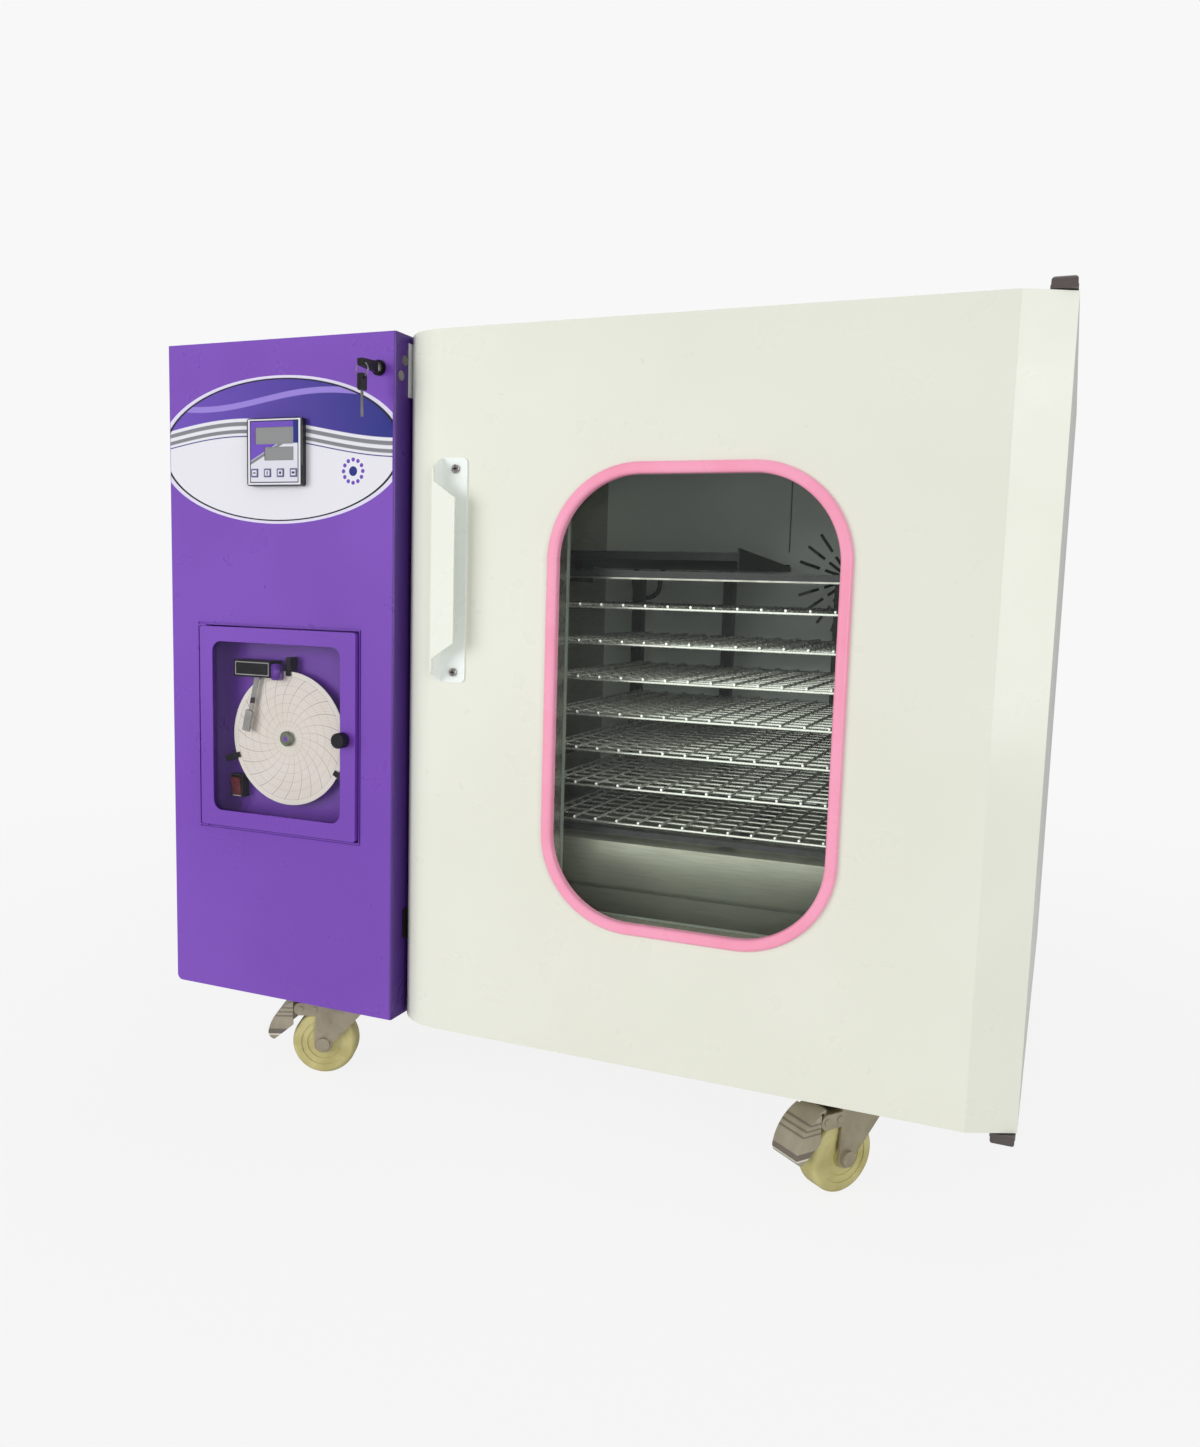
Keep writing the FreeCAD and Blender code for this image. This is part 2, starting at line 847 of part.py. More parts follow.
def lock_key():
    """Lock plug with the key in it: a flat blade and a long tapered head with a ring hole."""
    plug = rod_y(lock_x, lock_z, lock_plug_radius, -lock_flange_thickness, lock_barrel_length)
    half = key_head_thickness / 2
    root, tip = key_head_height / 2, key_head_tip_height / 2
    head = plate([Vector(lock_x - half, -key_head_start, lock_z - root),
                  Vector(lock_x - half, -key_head_start, lock_z + root),
                  Vector(lock_x - half, -key_head_reach, lock_z + tip),
                  Vector(lock_x - half, -key_head_reach, lock_z - tip)],
                 Vector(key_head_thickness, 0, 0))
    ends = [edge for edge in head.Edges
            if all(v.Y < -key_head_start - overrun for v in edge.Vertexes)
            and abs(edge.Vertexes[0].X - edge.Vertexes[1].X) > half]
    head = head.makeFillet(key_head_corner, ends)
    head = head.cut(rod_x(-ring_hole_reach, lock_z, ring_hole_radius,
                          lock_x - half - overrun, lock_x + half + overrun))
    blade = box(lock_x - key_blade_thickness / 2, lock_x + key_blade_thickness / 2,
                -key_head_start, -lock_flange_thickness,
                lock_z - key_blade_height / 2, lock_z + key_blade_height / 2)
    return [plug, head, blade]


def spare_key():
    """Wire ring through the first key's head, with a second key hanging on it."""
    y = -ring_hole_reach
    ring = Part.makeTorus(ring_radius, ring_wire_radius, Vector(lock_x, y, lock_z - ring_radius),
                          Vector(0, 1, 0))
    ring_low = lock_z - 2 * ring_radius
    head_high = ring_low + spare_head_top
    head_low = head_high - spare_head_height
    half = spare_head_thickness / 2
    head = box(lock_x - half, lock_x + half, y - spare_head_width / 2,
               y + spare_head_width / 2, head_low, head_high)
    sides = [edge for edge in head.Edges
             if abs(edge.Vertexes[0].X - edge.Vertexes[1].X) > half]
    head = head.makeFillet(spare_head_width / 4, sides)
    wire_rise = ring_radius - math.sqrt(ring_radius ** 2 - half ** 2)
    hole_z = ring_low + wire_rise + ring_wire_radius + running_clearance - ring_hole_radius
    head = head.cut(rod_x(y, hole_z, ring_hole_radius, lock_x - half - overrun,
                          lock_x + half + overrun))
    blade = box(lock_x - spare_blade_thickness / 2, lock_x + spare_blade_thickness / 2,
                y - spare_blade_width / 2, y + spare_blade_width / 2,
                head_low - spare_blade_length, head_low)
    return [ring, head, blade]


def recorder_case():
    """Sheet box that hangs by its flange behind the cover, with the plate that carries the
    chart drive."""
    left, right = recorder_left + recorder_fit, recorder_right - recorder_fit
    low, high = recorder_low + recorder_fit, recorder_high - recorder_fit
    t = recorder_wall
    walls = [box(left, left + t, 0, recorder_depth, low, high),
             box(right - t, right, 0, recorder_depth, low, high),
             box(left + t, right - t, 0, recorder_depth, low, low + t),
             box(left + t, right - t, 0, recorder_depth, high - t, high),
             box(left + t, right - t, recorder_depth - t, recorder_depth, low + t, high - t)]
    rim = recorder_flange
    flange = box(recorder_left - rim, recorder_right + rim, cover_sheet, cover_sheet + t,
                 recorder_low - rim, recorder_high + rim)
    flange = flange.cut(box(left, right, cover_sheet - overrun, cover_sheet + t + overrun,
                            low, high))
    deck = box(left + t, right - t, recorder_plate_y, recorder_plate_y + recorder_plate_sheet,
               low + t, high - t)
    spindle = rod_y(chart_x, chart_z, spindle_radius, chart_y - hub_length, recorder_plate_y)
    return walls + [flange, deck, spindle] + recorder_pivots()


def recorder_door_box():
    """Edges of the small door: left, right, low, high."""
    t = recorder_fit + recorder_wall
    return (recorder_left + t + recorder_door_gap_side, recorder_right - t,
            recorder_low + t + recorder_door_gap_end, recorder_high - t - recorder_door_gap_end)


def recorder_pivot_place():
    left = recorder_door_box()[0]
    return left + recorder_pivot_inset, recorder_pivot_inset - recorder_door_proud


def recorder_pivots():
    """Two small lugs on the case, each with the pin that the door turns on."""
    left, _, low, high = recorder_door_box()
    x, y = recorder_pivot_place()
    half = recorder_pivot_inset
    case_left = recorder_left + recorder_fit + recorder_wall
    pieces = []
    wall_low = low - recorder_door_gap_end
    wall_high = high + recorder_door_gap_end
    thickness = recorder_door_gap_end - recorder_lug_gap
    for wall, side in ((wall_low, 1), (wall_high, -1)):
        tip = wall + side * thickness
        lug = box(case_left, x + half, y - half, half, min(wall, tip), max(wall, tip))
        inner = tip + side * recorder_pivot_length
        pin = rod_z(x, y, recorder_pivot_radius, min(tip, inner), max(tip, inner))
        pieces.append(lug.fuse(pin))
    return pieces


def recorder_door():
    """Purple pan with a round-cornered window and two pivot blocks."""
    left, right, low, high = recorder_door_box()
    right -= recorder_door_gap_end
    front = -recorder_door_proud
    back = front + recorder_door_depth
    t = recorder_door_sheet
    mid_x, mid_z = (left + right) / 2, (low + high) / 2
    pan = rounded_block(mid_x, mid_z, right - left, high - low, recorder_door_corner, front, back)
    pan = pan.cut(rounded_block(mid_x, mid_z, right - left - 2 * t, high - low - 2 * t,
                                recorder_door_corner - t, front + t, back + overrun))
    pan = pan.cut(recorder_window_block(0, front - overrun, front + t + overrun))
    x, y = recorder_pivot_place()
    half = recorder_pivot_inset
    for z_low in (low, high - recorder_pivot_block):
        block = box(left + t, x + half, front + t, y + half, z_low + t, z_low + recorder_pivot_block - t)
        pan = pan.fuse(block)
    bore = recorder_pivot_radius + running_clearance
    pan = pan.cut(rod_z(x, y, bore, low - overrun, low + recorder_pivot_block + overrun))
    pan = pan.cut(rod_z(x, y, bore, high - recorder_pivot_block - overrun, high + overrun))
    return [pan.cut(rod_y(knob_x, knob_z, knob_shaft_radius + running_clearance,
                          front - overrun, back))]


def recorder_window_block(margin, y_low, y_high):
    """Space of the small window, grown by a margin on each side."""
    left, right, low, high = recorder_door_box()
    x_low = left + recorder_window_margin_left - margin
    x_high = right - recorder_window_margin_right + margin
    z_low = low + recorder_window_margin_low - margin
    z_high = high - recorder_window_margin_top + margin
    return rounded_block((x_low + x_high) / 2, (z_low + z_high) / 2, x_high - x_low,
                         z_high - z_low, recorder_window_corner, y_low, y_high)


def recorder_window():
    """Clear pane behind the small door's frame."""
    front = recorder_door_sheet - recorder_door_proud
    back = front + recorder_pane_thickness
    pane = recorder_window_block(recorder_pane_overlap, front, back)
    return [pane.cut(rod_y(knob_x, knob_z, knob_shaft_radius + knob_gap,
                           front - overrun, back + overrun))]


def recorder_knob():
    """Ribbed round knob, its shaft through the small door, and the tongue behind."""
    seat = -recorder_door_proud - knob_gap
    knob = rod_y(knob_x, knob_z, knob_radius - knob_rib_radius, seat - knob_length, seat)
    for index in range(knob_ribs):
        turn = 2 * math.pi * index / knob_ribs
        reach = knob_radius - knob_rib_radius
        knob = knob.fuse(rod_y(knob_x + reach * math.cos(turn), knob_z + reach * math.sin(turn),
                               knob_rib_radius, seat - knob_length, seat))
    tongue_front = recorder_door_depth - recorder_door_proud - knob_tongue_thickness - knob_gap
    knob = knob.fuse(rod_y(knob_x, knob_z, knob_shaft_radius, seat, tongue_front))
    tongue = box(knob_x - knob_tongue_height / 2, knob_x + knob_tongue_length,
                 tongue_front, tongue_front + knob_tongue_thickness,
                 knob_z - knob_tongue_height / 2, knob_z + knob_tongue_height / 2)
    return [knob.removeSplitter(), tongue]


def recorder_fittings():
    """Pen housing with its blank plate and the pen's pivot in a slot from below, chart clips
    and the switch frame."""
    deck = recorder_plate_y
    before_chart = chart_y - clip_lift
    right = pen_housing_x + pen_housing_width
    top = pen_housing_z + pen_housing_height
    housing = box(pen_housing_x, right, pen_housing_front, before_chart, pen_housing_z, top)
    leg = box(pen_housing_x, right, before_chart, deck, chart_z + chart_radius + clip_lift, top)
    slot_front = pen_arm_y - pen_slot_gap
    slot_back = pen_arm_y + pen_arm_thickness + pen_slot_gap
    slot = box(pen_pivot_x - pen_slot_width / 2, pen_pivot_x + pen_slot_width / 2,
               slot_front, slot_back, pen_housing_z - overrun,
               pen_pivot_z + pen_eye_radius + pen_slot_gap)
    housing = housing.fuse(leg).cut(slot).removeSplitter()
    stud = rod_y(pen_pivot_x, pen_pivot_z, pen_pivot_radius, slot_front, slot_back)
    pieces = [housing, stud]
    for bearing in clip_bearings:
        pieces.append(chart_clip(bearing))
    half_width, half_height = switch_width / 2, switch_height / 2
    frame = box(switch_x - half_width, switch_x + half_width, switch_front, deck,
                switch_z - half_height, switch_z + half_height)
    well_width = half_width - switch_frame
    well_height = half_height - switch_frame
    frame = frame.cut(box(switch_x - well_width, switch_x + well_width,
                          switch_front - overrun, deck - switch_frame,
                          switch_z - well_height, switch_z + well_height))
    axle_y = switch_front + rocker_depth / 2
    axle = rod_x(axle_y, switch_z, rocker_pin_radius, switch_x - well_width, switch_x + well_width)
    return pieces + [frame.fuse(axle)]


def chart_clip(bearing):
    """A post beside the chart's rim with a tab that reaches over the paper."""
    inner = chart_radius - clip_overlap
    outer = chart_radius + clip_length - clip_overlap
    tab_y = chart_y - clip_lift - clip_thickness
    tab = box(inner, outer, tab_y, tab_y + clip_thickness, -clip_width / 2, clip_width / 2)
    post = box(chart_radius + clip_lift, outer, tab_y, recorder_plate_y,
               -clip_width / 2, clip_width / 2)
    clip = tab.fuse(post).removeSplitter()
    clip.rotate(Vector(0, 0, 0), Vector(0, 1, 0), -bearing)
    clip.translate(Vector(chart_x, 0, chart_z))
    return clip


def recorder_switch():
    """Rocker that tilts on the switch frame's axle, with a shallow valley across it."""
    width = switch_width / 2 - switch_frame - rocker_clearance
    height = switch_height / 2 - switch_frame - rocker_clearance * 2
    front = switch_front - rocker_rise
    back = switch_front + rocker_depth
    valley = front + rocker_rise / 2
    outline = [Vector(switch_x - width, front, switch_z - height),
               Vector(switch_x - width, valley, switch_z),
               Vector(switch_x - width, front, switch_z + height),
               Vector(switch_x - width, valley + rocker_rise, switch_z + height),
               Vector(switch_x - width, back, switch_z),
               Vector(switch_x - width, valley + rocker_rise, switch_z - height)]
    rocker = plate(outline, Vector(2 * width, 0, 0))
    bore = rod_x(switch_front + rocker_depth / 2, switch_z, rocker_pin_radius + running_clearance,
                 switch_x - width - overrun, switch_x + width + overrun)
    rocker = rocker.cut(bore)
    rocker.rotate(Vector(switch_x, switch_front + rocker_depth / 2, switch_z),
                  Vector(1, 0, 0), rocker_tilt)
    return [rocker]


def chart_disc():
    """Round paper chart and the metal hub that clamps it on the spindle."""
    paper = rod_y(chart_x, chart_z, chart_radius, chart_y, chart_y + chart_thickness)
    hub = rod_y(chart_x, chart_z, hub_radius, chart_y - hub_length, chart_y)
    rim = [edge for edge in hub.Edges
           if edge.Closed and edge.BoundBox.YMax < chart_y - hub_length / 2]
    hub = hub.makeChamfer(hub_length / 4, rim)
    bore = rod_y(chart_x, chart_z, spindle_radius + running_clearance,
                 chart_y - hub_length - overrun, recorder_plate_y)
    return [paper.cut(bore), hub.cut(bore)]


def pen_arm():
    """Flat arm from the pivot stud down to the pen, which carries a small clip."""
    run = Vector(pen_tip_x - pen_pivot_x, 0, pen_tip_z - pen_pivot_z)
    length = run.Length
    arm = box(0, length, pen_arm_y, pen_arm_y + pen_arm_thickness,
              -pen_arm_width / 2, pen_arm_width / 2)
    arm = arm.fuse(rod_y(0, 0, pen_eye_radius, pen_arm_y, pen_arm_y + pen_arm_thickness))
    arm = arm.cut(rod_y(0, 0, pen_pivot_radius + running_clearance,
                        pen_arm_y - overrun, pen_arm_y + pen_arm_thickness + overrun))
    clip_end = length
    clip = box(clip_end - pen_clip_length, clip_end, pen_arm_y - pen_clip_depth, pen_arm_y,
               -pen_clip_width / 2, pen_clip_width / 2)
    nib = Part.makeCone(pen_clip_depth / 2, pen_arm_thickness / 4,
                        chart_y - clip_lift - pen_arm_y - pen_arm_thickness,
                        Vector(length - pen_clip_depth, pen_arm_y + pen_arm_thickness, 0),
                        Vector(0, 1, 0))
    arm = arm.fuse(clip).fuse(nib)
    arm.rotate(Vector(0, 0, 0), Vector(0, 1, 0), -math.degrees(math.atan2(run.z, run.x)))
    arm.translate(Vector(pen_pivot_x, 0, pen_pivot_z))
    return [arm]


def door_outline(inset, z):
    """Plan of the door: round left end, flat front, bevelled right end, flat back.
    The front side is drawn inset by a sheet's thickness for the core."""
    left = bay_width + inset
    right = cabinet_width - inset
    radius = (door_curve_width ** 2 + door_left_setback ** 2) / (2 * door_left_setback)
    curve_x = bay_width + door_curve_width
    small = radius - inset

    def on_curve(x):
        return radius - math.sqrt(small ** 2 - (curve_x - x) ** 2)

    slope = math.atan2(door_bevel_setback, door_bevel_width)
    fold_x = cabinet_width - door_bevel_width - inset * math.tan(slope / 2)
    bevel_end = (door_bevel_width - inset) * math.tan(slope) + inset / math.cos(slope)
    chamfer_side = door_thickness - door_rear_chamfer - inset * (math.sqrt(2) - 1)
    chamfer_back = right - door_rear_chamfer - inset * (math.sqrt(2) - 1)
    middle_x = (left + curve_x) / 2
    start = Vector(left, on_curve(left), z)
    end = Vector(curve_x, inset, z)
    points = [end, Vector(fold_x, inset, z), Vector(right, bevel_end, z),
              Vector(right, chamfer_side, z), Vector(chamfer_back, door_thickness, z),
              Vector(left, door_thickness, z), start]
    edges = [Part.Arc(start, Vector(middle_x, on_curve(middle_x), z), end).toShape()]
    for first, second in zip(points, points[1:]):
        edges.append(Part.LineSegment(first, second).toShape())
    return Part.Face(Part.Wire(edges))


def window_shape(inset):
    """Window outline inset from the outside of the trim, as rounded_block takes it."""
    return (window_x, window_centre_z, window_width - 2 * inset, window_height - 2 * inset,
            window_radius - inset)


def glazing_shape(inset):
    """Outline of the glass unit, square cornered behind the trim's round corners."""
    margin = glazing_inset + inset
    return (window_x, window_centre_z, window_width - 2 * margin, window_height - 2 * margin,
            glazing_corner - inset)


def handle_screw_heights():
    return handle_low + handle_screw_inset_low, handle_high - handle_screw_inset_high


def screw_holes():
    """Clearance for the handle screws' shanks."""
    return [rod_y(handle_screw_x, z, screw_shank_radius, -handle_reach, screw_shank_length)
            for z in handle_screw_heights()]


def hinge_bores():
    """Round seats in the door's ends for the hinge bushes."""
    low, high = door_end_gap, body_height - door_end_gap
    return [rod_z(hinge_x, hinge_y, hinge_bush_radius, low - overrun, low + hinge_bush_length),
            rod_z(hinge_x, hinge_y, hinge_bush_radius, high - hinge_bush_length, high + overrun)]


def door_blank(inset):
    """Door body with the window opening, before shell and core are told apart."""
    low = door_end_gap + inset
    height = body_height - 2 * door_end_gap - 2 * inset
    return door_outline(inset, low).extrude(Vector(0, 0, height))


def door_shell():
    """White folded skin, open at the back."""
    skin = door_blank(0).cut(door_blank(door_sheet))
    opening = rounded_block(*window_shape(glazing_inset), -overrun,
                            door_thickness + overrun)
    for tool in [opening] + screw_holes() + hinge_bores():
        skin = skin.cut(tool)
    return [skin]


def door_core():
    """Foam-filled inner pan, stepped to hold the glazing."""
    core = door_blank(door_sheet)
    glass_back = trim_lip + 2 * pane_thickness + pane_spacing
    glazing = rounded_block(*glazing_shape(0), -overrun, glass_back)
    ledge = rounded_block(*glazing_shape(spacer_width), -overrun, door_thickness + overrun)
    for tool in [glazing, ledge] + screw_holes() + hinge_bores():
        core = core.cut(tool)
    return [core]


def window_trim():
    """Pink rubber frame: a round front flange and a web that holds the glass."""
    flange = rounded_ring(window_shape(0), window_shape(trim_band), -trim_proud, 0)
    front = [edge for edge in flange.Edges if edge.BoundBox.YMax < -trim_proud / 2]
    flange = flange.makeFillet(trim_round, front)
    web = rounded_ring(window_shape(glazing_inset), window_shape(trim_band),
                       0, trim_lip)
    return [flange.fuse(web)]


def window_panes():
    """Front and rear panes of the double glazing."""
    front = trim_lip
    rear = front + pane_thickness + pane_spacing
    shape = glazing_shape(0)
    return [rounded_block(*shape, front, front + pane_thickness),
            rounded_block(*shape, rear, rear + pane_thickness)]


def window_spacer():
    """Bright frame that keeps the panes apart."""
    front = trim_lip + pane_thickness
    return [rounded_ring(glazing_shape(0), glazing_shape(spacer_width),
                         front, front + pane_spacing)]


def door_handle():
    """Handle folded from one sheet: base, web and a lip with sloping ends."""
    t = handle_sheet
    right = handle_left + handle_base_width
    base = box(handle_left, right, -t, 0, handle_low, handle_high)
    ends = [edge for edge in base.Edges if all(v.X > right - t for v in edge.Vertexes)
            and abs(edge.Vertexes[0].Y - edge.Vertexes[1].Y) > t / 2]
    base = base.makeFillet(handle_base_corner, ends)
    web = plate([Vector(handle_left, -t, handle_low),
                 Vector(handle_left, -handle_reach, handle_low + handle_end_slope),
                 Vector(handle_left, -handle_reach, handle_high - handle_end_slope),
                 Vector(handle_left, -t, handle_high)], Vector(t, 0, 0))
    middle = (handle_low + handle_high) / 2
    lip_right = handle_left + handle_lip_width
    lip = plate([Vector(handle_left, -handle_reach, middle - handle_lip_long / 2),
                 Vector(lip_right, -handle_reach, middle - handle_lip_short / 2),
                 Vector(lip_right, -handle_reach, middle + handle_lip_short / 2),
                 Vector(handle_left, -handle_reach, middle + handle_lip_long / 2)],
                Vector(0, t, 0))
    handle = base.fuse(web).fuse(lip)
    for hole in screw_holes():
        handle = handle.cut(hole)
    return [handle]


def handle_screws():
    """Two round-headed screws through the handle's base."""
    screws = []
    for z in handle_screw_heights():
        head = rod_y(handle_screw_x, z, screw_head_radius,
                     -handle_sheet - screw_head_height, -handle_sheet)
        crown = [edge for edge in head.Edges
                 if edge.Closed and edge.BoundBox.YMax < -handle_sheet - screw_head_height / 2]
        head = head.makeFillet(screw_head_height / 2, crown)
        screws.append(head.fuse(rod_y(handle_screw_x, z, screw_shank_radius,
                                      -handle_sheet, screw_shank_length)))
    return screws


def door_gasket():
    """Soft frame between the door's back and the cabinet's front face."""
    outer_left, outer_right = bay_width + gasket_margin, chamber_right + gasket_width * 2
    outer_low, outer_high = chamber_floor - gasket_width * 2, chamber_top + gasket_width * 2
    front, back = door_thickness, front_face - gasket_gap
    frame = box(outer_left, outer_right, front, back, outer_low, outer_high)
    return [frame.cut(box(outer_left + gasket_width, outer_right - gasket_width,
                          front - overrun, back + overrun,
                          outer_low + gasket_width, outer_high - gasket_width))]


def hinge_brackets():
    """Plates above and below the door, each with its pin and outer cap."""
    left, right = hinge_x - hinge_plate_width / 2, hinge_x + hinge_plate_width / 2
    pieces = []
    for face, side in ((0, -1), (body_height, 1)):
        outer = face + side * hinge_plate_thickness
        tab = box(left, right, hinge_plate_front, hinge_plate_back,
                  min(face, outer), max(face, outer))
        tip = face - side * (door_end_gap + hinge_pin_reach)
        pin = rod_z(hinge_x, hinge_y, hinge_pin_radius, min(face, tip), max(face, tip))
        top = outer + side * hinge_cap_height
        cap_z = (outer + top) / 2
        cap = box(hinge_x - hinge_cap_width / 2, hinge_x + hinge_cap_width / 2,
                  hinge_plate_front, hinge_plate_front + hinge_cap_depth,
                  min(outer, top), max(outer, top))
        round_edges = [edge for edge in cap.Edges
                       if (edge.CenterOfMass.z - cap_z) * side > hinge_cap_height / 4]
        cap = cap.makeFillet(hinge_cap_radius, round_edges)
        pieces += [tab.fuse(pin), cap]
    return pieces


def hinge_bushes():
    """Bushes pressed into the door for the hinge pins."""
    low, high = door_end_gap, body_height - door_end_gap
    bushes = []
    for start in (low, high - hinge_bush_length):
        bush = rod_z(hinge_x, hinge_y, hinge_bush_radius, start, start + hinge_bush_length)
        bushes.append(bush.cut(rod_z(hinge_x, hinge_y, hinge_pin_radius + running_clearance,
                                     start - overrun, start + hinge_bush_length + overrun)))
    return bushes


def radial_slot(inner, outer, turn):
    """One slot of the fan grille, as a cutter."""
    slot = box(inner, outer, duct_face - overrun, duct_face + duct_sheet + overrun,
               -grille_slot / 2, grille_slot / 2)
    slot.rotate(Vector(0, 0, 0), Vector(0, 1, 0), turn)
    slot.translate(Vector(grille_x, 0, grille_z))
    return slot


def duct_panel():
    """False back wall with two rings of radial slots, and the fan motor behind it."""
    sheet = box(chamber_left, chamber_right, duct_face, duct_face + duct_sheet,
                chamber_floor, chamber_top)
    sheet = sheet.cut(box(duct_seam_x, duct_seam_x + duct_seam_width, duct_face - overrun,
                          duct_face + duct_sheet + overrun, duct_seam_low,
                          chamber_top + overrun))
    screw = rod_y(duct_screw_x, duct_screw_z, duct_screw_radius,
                  duct_face - duct_screw_height, duct_face)
    for index in range(grille_count):
        turn = 360.0 * index / grille_count
        sheet = sheet.cut(radial_slot(grille_inner, grille_middle - grille_gap / 2, turn))
        sheet = sheet.cut(radial_slot(grille_middle + grille_gap / 2, grille_outer, turn))
    fan_back = duct_face + duct_sheet + fan_gap + fan_depth
    motor_front = fan_back + fan_gap / 2
    motor = rod_y(grille_x, grille_z, fan_motor_radius, motor_front,
                  motor_front + fan_motor_length)
    shaft = rod_y(grille_x, grille_z, fan_shaft_radius, duct_face + duct_sheet + fan_gap,
                  motor_front)
    strut = box(grille_x - fan_motor_radius / 2, grille_x + fan_motor_radius / 2,
                motor_front + fan_motor_length, chamber_back,
                grille_z - fan_motor_radius / 2, grille_z + fan_motor_radius / 2)
    return [sheet, screw, motor.fuse(shaft), strut]


def evaporator_fan():
    """Axial fan: a hub with pitched blades."""
    front = duct_face + duct_sheet + fan_gap
    fan = rod_y(grille_x, grille_z, fan_hub_radius, front, front + fan_depth)
    half_chord = fan_hub_radius * fan_blade_chord_share
    for index in range(fan_blades):
        blade = box(fan_hub_radius - overrun, fan_radius, -fan_blade_thickness / 2,
                    fan_blade_thickness / 2, -half_chord, half_chord)
        blade.rotate(Vector(0, 0, 0), Vector(1, 0, 0), fan_blade_pitch)
        blade.translate(Vector(0, front + fan_depth / 2, 0))
        blade.rotate(Vector(0, 0, 0), Vector(0, 1, 0), 360.0 * index / fan_blades)
        blade.translate(Vector(grille_x, 0, grille_z))
        fan = fan.fuse(blade)
    keep = rod_y(grille_x, grille_z, fan_radius, front, front + fan_depth)
    fan = fan.common(keep)
    return [fan.cut(rod_y(grille_x, grille_z, fan_shaft_radius + running_clearance,
                          front - overrun, front + fan_depth + overrun))]


def finned_block(x_low, y_low, z_low, width, depth, height, fins, fin_thickness,
                 columns, rows, radius):
    """Upright fins across the width, joined by tubes along x."""
    pitch = (width - fin_thickness) / (fins - 1)
    block = None
    for column in range(columns):
        y = y_low + depth * (column + 0.5) / columns
        for row in range(rows):
            z = z_low + height * (row + 0.5) / rows
            tube = rod_x(y, z, radius, x_low, x_low + width)
            block = tube if block is None else block.fuse(tube)
    sheets = [box(x_low + index * pitch, x_low + index * pitch + fin_thickness,
                  y_low, y_low + depth, z_low, z_low + height) for index in range(fins)]
    return block.multiFuse(sheets)


def sheet_along_x(x_low, x_high, points):
    """A solid of one outline of (y, z) points, drawn out along x."""
    return plate([Vector(x_low, y, z) for y, z in points], Vector(x_high - x_low, 0, 0))


def evaporator():
    """Cooling coil on brackets behind the duct panel, and the dark drip tray before it."""
    coil_left = chamber_left + coil_left_gap
    coil = finned_block(coil_left, coil_front, coil_low, coil_width, coil_depth, coil_height,
                        coil_fins, coil_fin_thickness, coil_tube_columns, coil_tube_rows,
                        coil_tube_radius)
    bracket = box(coil_left, coil_left + coil_width, coil_front + coil_depth, chamber_back,
                  coil_low + (coil_height - coil_bracket_height) / 2,
                  coil_low + (coil_height + coil_bracket_height) / 2)
    return [coil, bracket, drip_tray(), tray_bracket()]


def drip_tray():
    """Pan that falls to the back, with a deep cheek on its right end."""
    t = tray_sheet
    front, back = tray_front, duct_face
    pan = sheet_along_x(chamber_left, tray_right - t,
                        [(front, tray_front_low), (back, tray_low), (back, tray_low + tray_lip),
                         (back - t, tray_low + tray_lip), (back - t, tray_low + t),
                         (front + t, tray_front_low + t), (front + t, tray_front_low + tray_lip),
                         (front, tray_front_low + tray_lip)])
    left_end = sheet_along_x(chamber_left, chamber_left + t,
                             [(front, tray_front_low), (back, tray_low),
                              (back, tray_low + tray_lip), (front, tray_front_low + tray_lip)])
    cheek_low = tray_low - tray_cheek_front_drop
    cheek = sheet_along_x(tray_right - t, tray_right,
                          [(front, cheek_low), (back, tray_low),
                           (back, tray_low + tray_cheek_back_height),
                           (front, cheek_low + tray_cheek_front_height)])
    return pan.fuse(left_end).fuse(cheek).removeSplitter()


def tray_bracket():
    """Block on the chamber's left wall that the tray rests on."""
    back = duct_face - tray_bracket_setback
    front = back - tray_bracket_length
    fall = tray_fall / tray_reach
    low_front = tray_low + (duct_face - front) * fall
    low_back = tray_low + (duct_face - back) * fall
    low = tray_low - tray_bracket_height
    return sheet_along_x(chamber_left, chamber_left + tray_bracket_width,
                         [(front, low), (back, low), (back, low_back), (front, low_front)])


def sensor_cable():
    """Black probe lead that comes out of one gland, hangs in a loop and goes back in."""
    y_hang = duct_face - cable_gland_length - cable_bend
    right = cable_left + 2 * cable_loop_radius
    bulge = cable_bend * (1 - math.sqrt(0.5))
    turn_z = cable_top - cable_bend
    loop_z = turn_z - cable_drop
    edges = []
    start_left = Vector(cable_left, duct_face - cable_gland_length, cable_top)
    left_turn = Vector(cable_left, y_hang, turn_z)
    left_low = Vector(cable_left, y_hang, loop_z)
    right_low = Vector(right, y_hang, loop_z)
    right_turn = Vector(right, y_hang, turn_z)
    start_right = Vector(right, duct_face - cable_gland_length, cable_top)
    edges.append(Part.Arc(start_left, Vector(cable_left, y_hang + bulge, cable_top - bulge),
                          left_turn).toShape())
    edges.append(Part.LineSegment(left_turn, left_low).toShape())
    bottom = Vector(cable_left + cable_loop_radius, y_hang, loop_z - cable_loop_radius)
    edges.append(Part.Arc(left_low, bottom, right_low).toShape())
    edges.append(Part.LineSegment(right_low, right_turn).toShape())
    edges.append(Part.Arc(right_turn, Vector(right, y_hang + bulge, cable_top - bulge),
                          start_right).toShape())
    path = Part.Wire(edges)
    section = Part.Wire(Part.Circle(start_left, Vector(0, 1, 0), cable_radius).toShape())
    lead = path.makePipeShell([section], True, False)
    glands = [rod_y(x, cable_top, cable_gland_radius, duct_face - cable_gland_length, duct_face)
              for x in (cable_left, right)]
    return [lead] + glands


